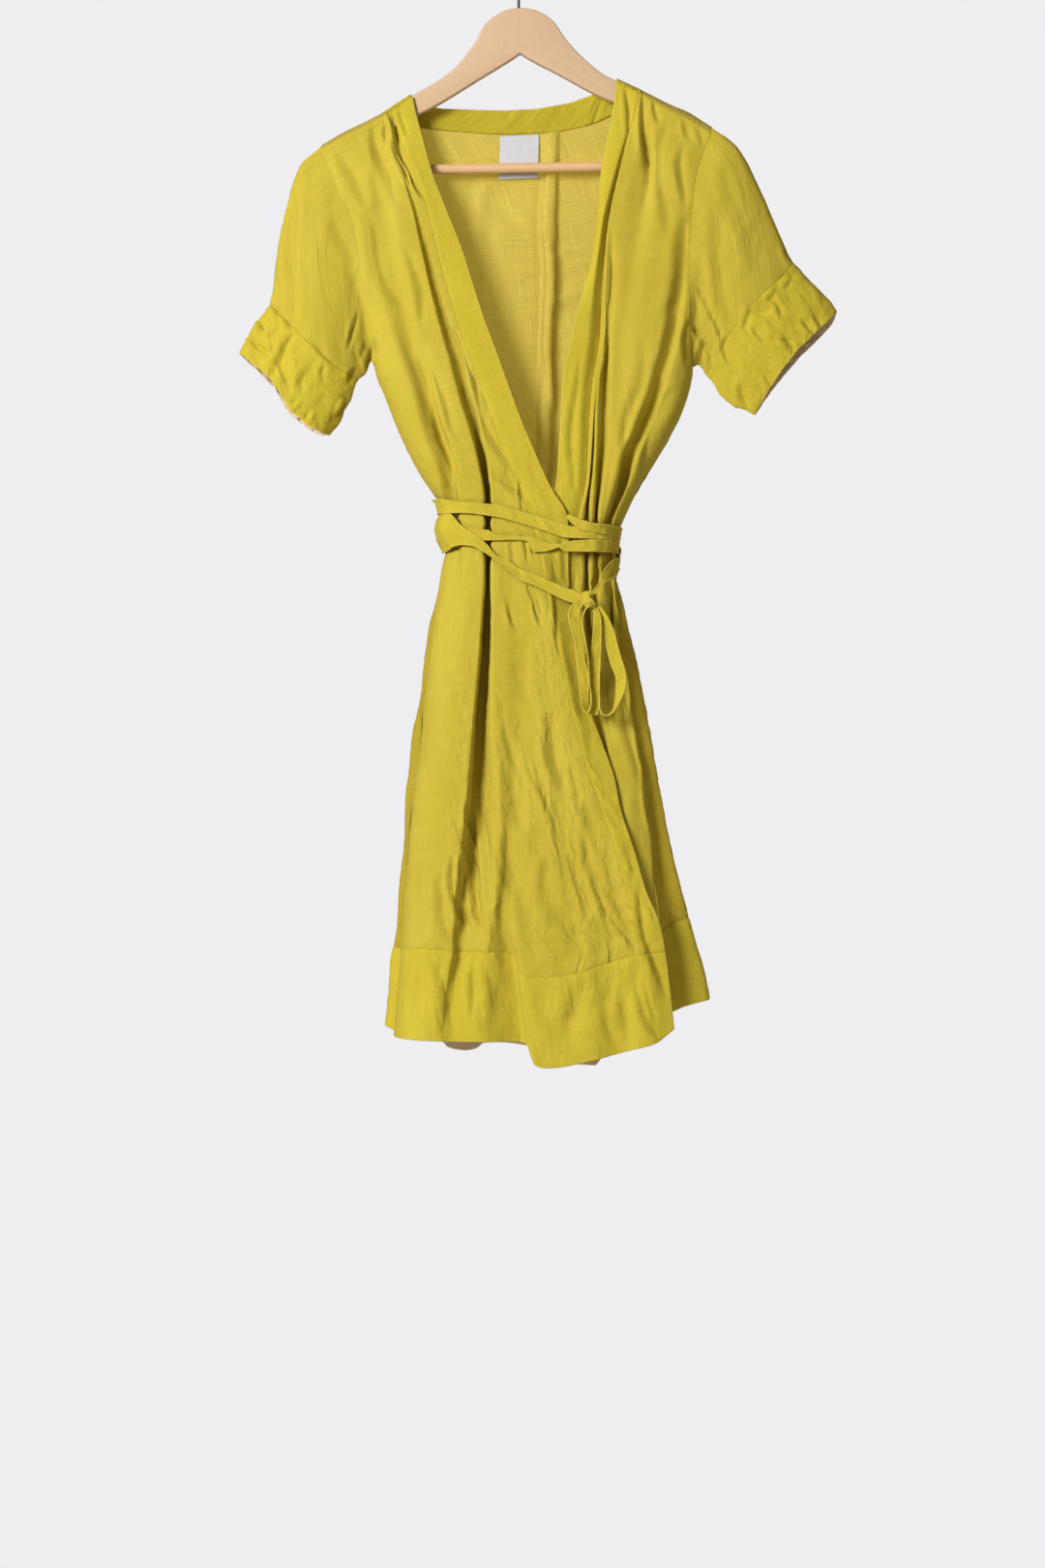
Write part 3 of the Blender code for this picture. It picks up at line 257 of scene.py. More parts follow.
def linen(name, look):
    # plain weave with thick and thin threads. lay holds the place along and down the cloth and
    # how far the nearest finished edge is; seam holds how far the nearest seam is, the place
    # along it and how crumpled the cloth is there
    sheet = Sheet(bpy.data.materials.new(name))
    lay = sheet.field("lay")
    near = sheet.field("seam")
    u = lay
    v = lay.out(1)
    edge = lay.out(2)
    busy = near.out(2)
    turn = math.pi / look["thread"]
    weave = (u * turn).sine() * (v * turn).sine()
    warp = sheet.noise(sheet.vector(u * 1150.0, v * 22.0), 3.0)
    weft = sheet.noise(sheet.vector(u * 26.0, v * 1050.0, 7.0), 3.0)
    patch = sheet.noise(sheet.vector(u * 16.0, v * 9.0, 3.0), 3.0)
    slub = ((sheet.noise(sheet.vector(u * 60.0, v * 900.0, 17.0), 1.0) - 0.62) * 7.0).held()
    slub = slub + ((sheet.noise(sheet.vector(u * 1000.0, v * 40.0, 23.0), 1.0) - 0.64) * 7.0).held()
    crumb = sheet.noise(sheet.vector(u * 140.0 + patch * 2.0 - v * 36.0, v * 50.0 + u * 12.0, 11.0), 3.0)
    fold = sheet.noise(sheet.vector(u * 52.0 + patch * 1.0 - v * 14.0, v * 15.0 + u * 5.0, 31.0), 2.0)
    calm = ((patch - 0.36) * 3.5).held()
    nick = abs(crumb * 2.0 - 1.0)
    facet = sheet.node("TexVoronoi", {}, {"Scale": 1.0, "Vector": sheet.vector(
        u * 62.0 + fold * 2.6 - v * 17.0, v * 15.0 + u * 9.0 + patch * 2.0, 3.0)})
    crease = nick * look["crumb"] * (0.3 + calm * 0.7) + abs(fold * 2.0 - 1.0) * look["fold"] * calm
    crease = crease + facet * look["facet"] * (0.25 + calm * 0.75)
    crease = crease - (1.0 - nick * 5.0).held() * ((crumb - patch) * 4.0 + 0.5).held() * look["nick"]
    thread = warp * 0.55 + weft * 0.45
    tone = (thread - 0.5) * look["grain"] + (patch - 0.5) * 0.7 + 0.55
    tone = tone + weave * 0.05 - slub * (0.16 * look["slub"])
    if look["mesh"]:
        tone = tone + ((u * 2100.0).sine() + (v * 2300.0).sine()) * look["mesh"] * (0.4 + patch)
    ditch = (1.0 - abs(near) / look["ditch"]).held()
    stitch = (near.out(1) * (math.pi / look["stitch"])).sine().held()
    stitch = stitch * (1.0 - abs(near) / look["sewn"]).held()
    # painted highlight: finished edges are paler over the rim's width, as if light caught them
    wear = (1.0 - edge / look["rim"]).held() * (0.25 + patch * 0.6).held()
    # painted shade: the small crease lines of crumpled cloth are darkened towards the deep tone
    line = (1.0 - nick * 6.0).held() * (0.2 + calm * 0.8) * (busy * 2.0).held()
    colour = sheet.mix(tone.held(), look["deep"], look["light"])
    # painted shade: the seam's groove is darkened a little towards the deep tone; the stitches are darker
    # dashes of thread
    colour = sheet.mix((ditch * 0.1 + stitch * 0.4).held(), colour, look["deep"])
    colour = sheet.mix(wear * 0.5, colour, look["wearAndHighlight"])
    colour = sheet.mix(line * 0.3, colour, look["deep"])
    height = weave * 0.00005 + thread * 0.00022 + slub * 0.00008
    height = height + crease * busy - ditch * 0.00015 - stitch * 0.00035
    bump = sheet.bump(height, 0.9)
    face = sheet.node("BsdfPrincipled", {}, {
        "Base Color": colour, "Roughness": (look["rough"] + (thread - 0.5) * 0.3).held(), "Normal": bump,
        "Specular IOR Level": 0.16, "Sheen Weight": 0.05, "Sheen Roughness": 0.5})
    through = sheet.node("BsdfTranslucent", {}, {"Color": look["through"], "Normal": bump})
    return sheet.finish(sheet.node("MixShader", {}, {0: look["share"], 1: face, 2: through}))


def store(mesh, name, values):
    # a number or a vector at each point of a mesh, for its shader
    values = np.asarray(values, float)
    kind, field = ("FLOAT", "value") if values.ndim == 1 else ("FLOAT_VECTOR", "vector")
    mesh.attributes.new(name, kind, "POINT").data.foreach_set(field, values.ravel())


def stand(name, mesh, looks):
    # puts a mesh in the scene
    mesh.shade_smooth()
    for look in looks:
        mesh.materials.append(look)
    made = bpy.data.objects.new(name, mesh)
    bpy.context.scene.collection.objects.link(made)
    return made


def fitted(shape, mesh):
    # writes a worked mesh back, its faces turned outward
    bmesh.ops.recalc_face_normals(shape, faces=shape.faces)
    shape.to_mesh(mesh)
    shape.free()


def facing(points, hint=None):
    # outward normals of a grid; a ring has no hint
    if hint is None:
        wrapped = np.concatenate([points[-1:], points, points[:1]])
        across = (wrapped[2:] - wrapped[:-2]) / 2
        hint = points - points.mean(axis=0, keepdims=True)
    else:
        across = np.gradient(points, axis=0)
    normal = np.cross(np.gradient(points, axis=1), across)
    normal /= np.maximum(np.linalg.norm(normal, axis=2, keepdims=True), 1e-9)
    return normal * np.sign((normal * np.array(hint)).sum())


def support(grid, axis):
    # a close line beside each border keeps the edge there crisp
    grid = np.moveaxis(grid, axis, 0)
    near = grid[0] + (grid[1] - grid[0]) * 0.3
    far = grid[-1] + (grid[-2] - grid[-1]) * 0.3
    return np.moveaxis(np.concatenate([grid[:1], near[None], grid[1:-1], far[None], grid[-1:]]), 0, axis)


def thickShell(name, points, hint, thick, looks, ring=False, edges="", seams="", busy=0.5):
    # a closed thin cloth: two walls and a rounded edge. points is a grid of lines and rows.
    # edges and seams name the borders that are finished or sewn: left right top bottom
    points = support(points, 1)
    if not ring:
        points = support(points, 0)
    if np.ndim(hint) == 3:
        hint = support(support(hint, 1), 0)
    if np.ndim(busy) == 2:
        busy = support(support(busy, 1), 0)
    lines, rows = points.shape[:2]
    normal = facing(points, None if ring else hint)
    u = runs(points, 0)
    v = runs(points, 1)
    reach = {"left": u, "right": u[-1:] - u, "top": v, "bottom": v[:, -1:] - v}
    far = np.full((lines, rows), 50.0)
    edge = np.minimum.reduce([far] + [reach[side] for side in edges.split()])
    sides = seams.split()
    seam = np.stack([far] + [reach[side] for side in sides])
    along = np.stack([u] + [v if side in ("left", "right") else u for side in sides])
    along = np.take_along_axis(along, seam.argmin(axis=0)[None], 0)[0]
    lay = np.stack([u, v, edge], axis=2).reshape(-1, 3) * mm
    near = np.stack([seam.min(axis=0) * mm, along * mm, busy + 0 * u], axis=2).reshape(-1, 3)
    outer = points + normal * (thick / 2)
    inner = points - normal * (thick / 2)
    number = np.arange(lines * rows).reshape(lines, rows)
    after = np.roll(number, -1, axis=0) if ring else number[1:]
    own = number if ring else number[:-1]
    quads = np.stack([own[:, :-1], own[:, 1:], after[:, 1:], after[:, :-1]], axis=2).reshape(-1, 4)
    count = lines * rows
    if ring:
        loops = [(number[:, 0], points[:, 0] - points[:, 1]), (number[:, -1], points[:, -1] - points[:, -2])]
    else:
        loop = np.concatenate([number[0, :-1], number[:-1, -1], number[-1, :0:-1], number[:0:-1, 0]])
        away = np.zeros_like(points)
        away[0] += points[0] - points[1]
        away[-1] += points[-1] - points[-2]
        away[:, 0] += points[:, 0] - points[:, 1]
        away[:, -1] += points[:, -1] - points[:, -2]
        loops = [(loop, away.reshape(-1, 3)[loop])]
    places = [outer.reshape(-1, 3), inner.reshape(-1, 3)]
    lays = [lay, lay]
    nears = [near, near]
    faces = [quads, quads[:, ::-1] + count]
    inside = [np.zeros(len(quads), int), np.ones(len(quads), int)]
    start = 2 * count
    for loop, away in loops:
        away = away / np.maximum(np.linalg.norm(away, axis=1, keepdims=True), 1e-9)
        places.append(points.reshape(-1, 3)[loop] + away * (thick / 2))
        lays.append(lay[loop])
        nears.append(near[loop])
        rim = start + np.arange(len(loop))
        ahead = np.roll(loop, -1)
        rimAhead = np.roll(rim, -1)
        faces.append(np.stack([loop, ahead, rimAhead, rim], axis=1))
        faces.append(np.stack([rim, rimAhead, ahead + count, loop + count], axis=1))
        inside += [np.zeros(2 * len(loop), int)]
        start += len(loop)
    mesh = bpy.data.meshes.new(name)
    mesh.from_pydata(np.concatenate(places) * mm, [], np.concatenate(faces))
    mesh.polygons.foreach_set("material_index", np.concatenate(inside))
    store(mesh, "lay", np.concatenate(lays))
    store(mesh, "seam", np.concatenate(nears))
    shape = bmesh.new()
    shape.from_mesh(mesh)
    fitted(shape, mesh)
    area = sum(face.area for face in mesh.polygons) / 2
    print(f"{name}: {len(mesh.polygons)} faces, {area:.4f} square metres")
    return stand(name, mesh, looks)


def carry(piece, node):
    # the whole dress is one body, and each piece stands for a part of the frame
    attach(piece, "root")
    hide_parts(node)


def wear(piece, node, flat, held, area, slot="cloth"):
    # a cloth piece, carried like the others; the size that it was cut to is not used
    carry(piece, node)


chestDrop = 240
waistDrop = 640
underarmDrop = 430
armholeFade = 70       # the armhole's open section goes over into the side seam's in this drop
roundIn = 42.0         # width over which a front turns in towards its side seam
fullness = 2.4         # how square a section is at its sides
floorWidth = 3.0       # the widest floor of a fold
sideStep = 3.0         # the back runs on this far in line with the front
armBack = 8.7          # the back hangs off the hanger's arm from this y
netDrops = (100.0, 1166.0, 3.0)     # first, last and step of the nets' sections


def folded(drop, folds):
    # the x of every fold's lips and floor at each drop, and how deep each line lies
    places = []
    depths = []
    for rows in folds.values():
        left, low, right, depth = (read(rows, name, drop) for name in ("left", "low", "right", "depth"))
        floor = np.minimum(floorWidth, 0.3 * (right - left)) / 2
        places += [left, low - floor, low + floor, right]
        depths += [0 * depth, depth, depth, 0 * depth]
    return places, depths


def turnIn(part, opened=0.0):
    # section of a panel beside its side seam: 0 at the seam, 1 where it faces the front
    part = np.clip(part, 0, 1)
    return (1 - opened) * (1 - (1 - part) ** fullness) ** 0.5 + opened * np.sin(math.pi / 2 * part)


def armholeAt(drop):
    return np.clip((underarmDrop - drop) / armholeFade, 0, 1)


def settled(places, drop):
    # 0 over the hanger's arm, 1 below it
    return np.clip((drop - read(shoulders, "seam", places) - 20) / 40, 0, 1)


def turnLines(side, first, way):
    room = np.clip(way * (first - side), 3, roundIn)
    return [side + way * (0.6 + room * part) for part in (0.015, 0.12, 0.33, 0.66)]


def rightFrontNet(drop):
    # x and y of the lines from the side seam to the free edge
    folds, dips = folded(drop, rightFolds)
    side = read(body, "leftSeam", drop)
    seam, edge, tuck = (read(rightEdge, name, drop) for name in ("seam", "edge", "tuck"))
    nothing = 0 * drop
    inner = inOrder(turnLines(side, folds[0], 1) + folds + [seam - 3], side, seam)
    places = np.vstack([side, inner, seam, (seam + edge) / 2, edge])
    dips = np.vstack([nothing] * 5 + dips + [nothing] * 2 + [0.6 * tuck, tuck])
    start = -read(body, "arm", drop) - read(body, "leftTurn", drop)
    depth = start + (-read(body, "front", drop) - start) * turnIn((places - side) / roundIn, armholeAt(drop))
    return places, depth + dips * settled(places, drop)


def leftFrontNet(drop):
    # x and y of the lines from the free edge to the side seam
    folds, dips = folded(drop, leftFolds)
    side = read(body, "rightSeam", drop)
    seam, edge, tuck = (read(leftEdge, name, drop) for name in ("seam", "edge", "tuck"))
    nothing = 0 * drop
    half = read(leftValley, "half", drop)
    depth = read(leftValley, "depth", drop)
    floor = np.minimum(floorWidth, 0.6 * half) / 2
    turn = turnLines(side, folds[-1], -1)[::-1]
    inner = inOrder([seam + floor, seam + 0.45 * half] + folds + turn, seam, side)
    band = [edge, (2 * edge + seam - half) / 3, seam - half, seam - floor, seam]
    places = np.vstack([*band, inner, side])
    dips = np.vstack([tuck, tuck * 0.3, nothing] + [depth] * 3 + [nothing] + dips + [nothing] * 5)
    start = -read(body, "arm", drop) - read(body, "rightTurn", drop)
    face = -read(body, "front", drop) + read(laps, "behind", drop)
    wide = roundIn - 14 * np.clip((drop - 680) / 80, 0, 1)
    depth = start + (face - start) * turnIn((side - places) / wide, armholeAt(drop))
    return places, depth + dips * settled(places, drop)


def backNet(drop):
    # x and y of the lines from the viewer's left side seam, round behind, to the right one
    folds, dips = folded(drop, backFolds)
    left, right, leftSeam, rightSeam = (read(body, name, drop)
                                        for name in ("leftOut", "rightOut", "leftSeam", "rightSeam"))
    neck = [read(neckLines, name, drop) for name in ("leftOuter", "leftInner")]
    neckBack = [read(neckLines, name, drop) for name in ("rightInner", "rightOuter")]
    turn = turnLines(left, neck[0], 1)
    turnBack = turnLines(right, neckBack[1], -1)[::-1]
    inner = inOrder(turn + neck + folds + neckBack + turnBack, left, right)
    places = np.vstack([leftSeam, leftSeam, left, inner, right, rightSeam, rightSeam])
    over = drop - read(shoulders, "ridge", places)
    behind = armBack + (read(body, "back", drop) - armBack) * (1 - np.exp(-np.clip(over - 6, 0, None) / 15))
    nothing = 0 * drop
    dips = np.vstack([nothing] * 9 + dips + [nothing] * 9)
    opened = armholeAt(drop)
    leftStart = read(body, "arm", drop) - read(body, "leftTurn", drop)
    rightStart = read(body, "arm", drop) - read(body, "rightTurn", drop)
    step = sideStep * (1 - opened)
    fromLeft = leftStart + 2 * step + (leftSeam - left) / 4
    fromLeft = fromLeft + (behind - fromLeft) * turnIn((places - left) / roundIn, opened)
    fromRight = rightStart + 2 * step + (right - rightSeam) / 8
    fromRight = fromRight + (behind - fromRight) * turnIn((right - places) / roundIn, opened)
    depth = np.minimum(fromLeft, fromRight)
    places[1] = leftSeam - 0.02 * (leftSeam - left) + 0.4 * opened
    places[2] = left + 0.8 * opened
    places[-3] = right - 0.8 * opened
    places[-2] = rightSeam + 0.02 * (right - rightSeam) - 0.4 * opened
    depth[0] = leftStart
    depth[1] = leftStart + step
    depth[-2] = rightStart + step
    depth[-1] = rightStart
    return places, depth - dips


def refine(places, depths, spacing):
    # rounds a net's sections and gives them close lines; starts are the net's own lines
    chord = np.maximum(np.hypot(np.diff(places, axis=0), np.diff(depths, axis=0)), 0.05)
    stops = np.concatenate([np.zeros((1, chord.shape[1])), np.cumsum(chord, axis=0)])
    leanX = tangents(stops, places)
    leanY = tangents(stops, depths)
    lines = []
    starts = []
    for index, wide in enumerate(chord):
        starts.append(len(lines))
        count = max(1, round(np.percentile(wide, 75) / spacing))
        for part in np.arange(count) / count:
            lines.append([
                between(part, wide, places[index], places[index + 1], leanX[index], leanX[index + 1]),
                between(part, wide, depths[index], depths[index + 1], leanY[index], leanY[index + 1])])
    starts.append(len(lines))
    lines.append([places[-1], depths[-1]])
    return np.array(lines), starts


def panel(net, top, hem, spacing):
    # a whole panel as close lines and rows. top is the table and the column of its upper edge,
    # hem the table of its hem band's seam and its hem
    drops = np.arange(*netDrops)
    first, _, step = netDrops
    lines, starts = refine(*net(drops), spacing)
    lines = soften(soften(lines, dress["soft"], 0), 3, 2)

    def at(own):
        index = np.clip(((own - first) / step).astype(int), 0, len(drops) - 2)
        part = (own - drops[index]) / step
        number = np.arange(len(lines)).reshape([-1] + [1] * (own.ndim - 1))
        return [lines[number, way, index] * (1 - part) + lines[number, way, index + 1] * part
                for way in (0, 1)]

    def meet(rows, name, guess):
        own = np.full(len(lines), float(guess))
        for _ in range(16):
            own = (own + read(rows, name, at(own)[0])) / 2
        return own

    levels = [meet(*top, 180), np.full(len(lines), chestDrop), np.full(len(lines), waistDrop),
              meet(hem, "seam", 1030), meet(hem, "hem", 1120)]
    own = np.concatenate([np.linspace(upper, lower, rows, endpoint=False).T
                          for upper, lower, rows in zip(levels, levels[1:], dress["rows"])]
                         + [levels[-1][:, None]], axis=1)
    x, y = at(own)
    return np.stack([x, y, -own], axis=2), starts


def troughs(points, rows):
    # listed creases: a soft trough from one place to another, with a low ridge on its one side
    x = points[..., 0]
    drop = -points[..., 2]
    total = np.zeros(x.shape)
    for fromX, fromDrop, toX, toDrop, width, depth, bend in zip(*rows.values()):
        run = np.array([toX - fromX, toDrop - fromDrop])
        length = np.hypot(*run)
        along = ((x - fromX) * run[0] + (drop - fromDrop) * run[1]) / length ** 2
        middle = np.clip(4 * along * (1 - along), 0, 1)
        aside = ((drop - fromDrop) * run[0] - (x - fromX) * run[1]) / length
        wander = 0.4 * width * np.sin(along * (3 + length / 30) + fromX)
        aside = (aside - bend * middle - wander) / (width * (0.55 + 0.45 * middle))
        shape = 0.5 * np.exp(-aside ** 2) + 0.6 * np.exp(-2 * np.abs(aside))
        shape -= 0.6 * np.exp(-((aside - 1.5) / 0.8) ** 2)
        total += dress["relief"] * depth * middle ** 0.7 * shape
    return total


def crumple(points, lean, across, along, seed):
    # small creases that run with the lean, in millimetres to the right for each one down
    drop = -points[..., 2]
    aside = points[..., 0] - lean * drop
    wide = cloud(aside / across + 50, drop / along + 50, seed)
    bent = cloud((aside + 6 * wide) / (0.45 * across) + 50, drop / (0.5 * along) + 50, seed + 1)
    sharp = cloud((aside + 9 * wide) / (0.7 * across) + 50, drop / (0.8 * along) + 50, seed + 2)
    return wide + 0.45 * bent + 0.6 * (1 - 2 * np.abs(sharp))


def crowd(busy, x, drop):
    # how crumpled a panel is: a base, and more of it in soft boxes of x and drop
    base, boxes = busy
    return base + sum(share * within(x, *across) * within(drop, *down) for share, across, down in boxes)


body = table(
    "drop leftSeam leftOut rightSeam rightOut arm leftTurn rightTurn front back",
    (130, -235, -235, 222, 222, 8.5, 0, 0, 9.2, 16.5), (185, -214.5, -214.5, 199, 199, 8.5, 0, 0, 9.6, 17),
    (205, -206, -206, 190, 190, 8.5, 0, 0, 13, 17.6), (240, -190, -190, 180, 180, 16, 0, 0, 21, 16),
    (280, -173, -173, 176, 176, 20, 0, 0, 25, 15), (340, -161, -161, 174, 174, 20, 0, 0, 28, 14),
    (390, -154, -154, 176, 176, 13, 0, 0, 30, 14), (430, -151, -151, 178, 178, 0, 0, 0, 32, 15),
    (465, -138, -138, 171, 171, 0, 0, 0, 33, 17), (500, -124, -124, 155, 155, 0, 0, 0, 35, 21),
    (540, -104, -104, 131, 131, 0, 0, 0, 38, 28), (575, -82, -82, 111, 111, 0, 0, 0, 39, 34),
    (605, -79, -79, 100, 100, 0, 0, 0, 40, 38), (622, -77.5, -77.5, 99, 99, 0, 0, 0, 41, 38.5),
    (640, -81, -83, 98, 98, 0, 1, 2, 42, 39), (662, -84, -87, 99, 103, 0, 2, 12, 43, 40),
    (700, -89, -93.5, 101, 112, 0, 4, 22, 45, 41), (760, -98, -103, 110, 125, 0, 7, 26, 48, 44),
    (840, -106, -114, 126, 139, 0, 9, 28, 51, 47), (920, -115, -120, 136, 154, 0, 11, 28, 54, 50),
    (1000, -121, -128, 142, 174, 0, 13, 28, 58, 54), (1070, -126, -136, 145, 193, 0, 15, 27, 61, 57),
    (1130, -131, -142, 147, 201, 0, 16, 25, 63, 60))
shoulders = table(
    "x ridge seam",
    (-206, 200, 205), (-180, 185, 190), (-155, 173, 178), (-134, 161, 166), (-113, 147, 152),
    (-60, 112, 117), (0, 58, 63), (60, 104, 109), (99, 131, 136), (117, 139, 144), (139, 150, 156),
    (155, 158, 165), (174, 166, 174), (185, 173, 181), (199, 182, 188))
rightEdge = table(
    "drop edge seam tuck",
    (140, -114, -139, 0), (165, -109, -137, 0), (195, -101, -125, 1), (232, -91, -108, 2),
    (268, -77, -95, 2), (309, -61, -86, 1), (375, -40, -68, 0), (424, -22, -51, 0), (480, -2, -31, 0),
    (528, 18, -13, 0), (557, 31, 0, 0), (587, 48, 10, 0), (612, 49, 18, 3), (640, 48.5, 23, 10),
    (662, 49.5, 27, 12), (695, 53.5, 34, 12), (720, 58, 39, 10), (750, 63, 46, 9), (790, 72.5, 54, 8),
    (812, 81, 60, 7), (834, 89, 65.5, 6), (854, 95.5, 72, 5), (884, 101.5, 83, 3), (935, 118, 99, 2),
    (967, 127, 108, 2), (1004, 142, 118, 4), (1058, 151, 128, 8), (1125, 158, 133, 9))
leftEdge = table(
    "drop edge seam tuck",
    (130, 100, 124, 0), (158, 97, 120, 1), (189, 91, 111, 3), (223, 84, 102, 6), (290, 78, 88, 7),
    (328, 72, 85, 5), (359, 63, 83, 2), (385, 56, 82, 0), (411, 51, 80, 0), (445, 44, 73.5, 0),
    (480, 42, 70.5, 0), (511, 40, 69, 0), (545, 38, 67, 0), (580, 30, 60, 0), (620, 20, 49, 0),
    (680, 13, 42, 0), (800, 11, 40, 0), (900, 14, 43, 0), (1000, 18, 47, 0), (1125, 22, 51, 0))
leftValley = table(
    "drop half depth",
    (180, 2.2, 0), (205, 2.5, 3), (240, 3.6, 6), (290, 5, 8), (328, 7, 9.5), (385, 10, 11), (411, 10.5, 9),
    (445, 10, 7), (480, 9, 6), (520, 8, 5), (560, 7, 3), (600, 4, 1), (640, 2.2, 0), (1125, 2.2, 0))
laps = table(
    "drop behind",
    (200, 0), (400, 4), (580, 4.5), (610, 7), (636, 14), (662, 16.5), (712, 16.5), (750, 14), (800, 12),
    (860, 9), (1034, 8.5), (1130, 12))
foldColumns = "drop left low right depth"
rightFolds = tables(
    foldColumns,
    sideDip=(
        (165, -158, -156, -154, 0), (205, -158, -150, -142, 2), (290, -154, -138, -124, 4),
        (345, -144, -124, -112, 6), (401, -130, -113, -103, 9), (454, -112, -94, -87, 13),
        (502, -99, -82, -76, 14), (543, -84, -70, -66, 12), (600, -76, -65, -61, 9),
        (660, -76, -64, -58, 3), (760, -78, -66, -58, 0), (1130, -108, -100, -94, 0)),
    mainPleat=(
        (165, -150, -148, -146, 0), (205, -138, -134, -130, 1), (240, -121, -117, -113, 3),
        (268, -112, -107.5, -103, 5), (300, -105, -100, -95.5, 7), (328, -98.5, -93.5, -89, 9),
        (379, -86.5, -80, -74.5, 11), (419, -76, -67, -59, 13), (470, -62, -53, -46, 16),
        (522, -46, -40, -34, 22), (569, -38, -33, -29, 28), (634, -38, -33, -29, 30),
        (714, -42, -35, -29, 31), (795, -49, -42, -29, 30), (857, -55, -46, -22, 27),
        (910, -60, -50, -20, 24), (960, -66, -55, -24, 19), (1034, -72, -62, -34, 10),
        (1125, -84, -70, -46, 3)),
    hemFold=(
        (165, -144, -143, -142, 0), (240, -111.5, -111, -110, 0), (300, -94, -93, -92, 0),
        (430, -54, -53, -52, 0), (560, -20, -14, -8, 0), (640, -18, -8, 2, 1), (760, -16, 0, 16, 2),
        (860, -20, -4, 14, 2), (940, -26, -12, 6, 3), (1000, -32, -18, -7, 6), (1034, -33, -9, -2, 10),
        (1125, -38, 2, 9, 16)),
    hemDip=(
        (165, -141, -140, -139, 0), (300, -91.5, -91, -90.5, 0), (430, -51, -50, -49, 0),
        (560, -6, -4, -2, 0), (700, 14, 20, 28, 0), (840, 24, 38, 52, 2), (940, 40, 62, 84, 2),
        (1034, 66, 92, 114, 4), (1125, 74, 104, 124, 7)))
leftFolds = tables(
    foldColumns,
    edgeSlit=(
        (150, 127, 128, 129, 0), (240, 105, 106, 107, 0), (290, 92.5, 93.2, 94, 0),
        (385, 87, 87.7, 88.5, 0), (430, 79, 80, 81, 0), (465, 73.5, 75, 77, 1), (492, 71, 73.5, 77, 6),
        (521, 70, 72.5, 76, 9), (560, 65, 69, 73, 13), (600, 64, 68, 72, 14), (662, 64, 68, 72, 13),
        (714, 65, 71, 76, 13), (750, 66, 73, 79, 10), (790, 72, 79, 86, 9), (830, 76, 84, 92, 5),
        (860, 62, 74, 84, 0), (1125, 72, 84, 94, 0)),
    bandValley=(
        (150, 130, 131, 132, 0), (240, 108, 109, 110, 0), (290, 96, 97, 98, 0), (385, 90, 91.5, 93, 2),
        (415, 85, 88.5, 92, 7), (439, 82, 87, 92, 12), (491, 79.5, 85.5, 91, 12), (547, 77, 81, 85, 15),
        (592, 74, 77.5, 81, 15), (640, 74, 78, 82, 9), (670, 73, 76.5, 80.5, 9), (700, 76, 77.5, 79, 6),
        (760, 81, 83, 86, 1), (860, 86, 94, 102, 0), (1125, 96, 104, 112, 0)),
    shoulderPleat=(
        (150, 133, 135, 138, 3), (200, 124, 131, 138, 8), (250, 114, 128, 138, 6), (310, 104, 118, 132, 3),
        (400, 95, 104, 116, 1), (520, 93, 96, 100, 0), (550, 86.5, 88, 90, 0), (592, 81.8, 82.7, 83.6, 0),
        (640, 82.6, 83.2, 83.8, 0), (700, 79.6, 80.2, 80.8, 0), (760, 87, 87.6, 88.2, 0),
        (1125, 114, 120, 126, 0)),
    sideFold=(
        (165, 150, 158, 166, 0), (300, 152, 168, 174, 1), (340, 150, 166, 172, 5), (380, 147, 161, 167, 9),
        (450, 129, 142, 148, 13), (507, 110, 121, 126.5, 15), (562, 92, 100, 105.5, 15),
        (600, 84.4, 89, 93.6, 10), (640, 84.4, 92, 96, 9), (670, 82.5, 95, 99, 10),
        (700, 81.4, 98, 103, 10), (740, 86, 104, 109, 6), (790, 96, 112, 117, 1), (860, 106, 112, 120, 0),
        (1125, 128, 134, 140, 0)))
backFolds = tables(
    foldColumns,
    gather1=(
        (195, -130, -112, -96, 0), (380, -126, -100, -82, 1), (500, -98, -80, -68, 8),
        (600, -68, -60, -52, 14), (720, -82, -70, -56, 13), (900, -104, -86, -64, 13),
        (1125, -124, -100, -74, 17)),
    gather2=(
        (195, -76, -58, -42, 0), (380, -74, -56, -38, 2), (500, -58, -44, -34, 8), (600, -42, -34, -26, 15),
        (720, -48, -37, -26, 14), (900, -56, -40, -22, 14), (1125, -66, -42, -16, 16)),
    gather3=(
        (195, 20, 34, 42, 4), (290, 20, 31, 39, 7), (400, 18, 28, 37, 9), (500, 14, 26, 38, 12),
        (600, 12, 20, 28, 16), (720, 2, 14, 26, 15), (900, -6, 14, 34, 15), (1125, -6, 18, 44, 18)),
    gather4=(
        (195, 84, 96, 108, 0), (380, 82, 96, 112, 1), (500, 66, 76, 88, 8), (600, 44, 52, 60, 15),
        (720, 46, 58, 70, 14), (900, 50, 70, 90, 14), (1125, 58, 84, 108, 17)),
    gather5=(
        (195, 112, 116, 120, 0), (380, 122, 132, 142, 0), (500, 110, 119, 128, 6), (600, 72, 79, 86, 12),
        (720, 82, 91, 100, 11), (900, 108, 124, 138, 11), (1125, 134, 152, 172, 13)))
rightHem = table(
    "x seam hem",
    (-131, 1028, 1119), (-98, 1028, 1121), (-58, 1031, 1122), (-14, 1032, 1122), (-7, 1035, 1122.5),
    (-2, 1050, 1123), (3, 1055, 1124), (8, 1056, 1127), (11, 1056.5, 1141), (15, 1057, 1146),
    (24, 1057, 1149), (40, 1056, 1148), (60, 1052, 1144), (82, 1045, 1139), (112, 1036, 1131),
    (137, 1032, 1124), (159, 1030, 1108))
leftHem = table(
    "x seam hem",
    (20, 1036, 1128), (90, 1034, 1124), (147, 1028, 1112))
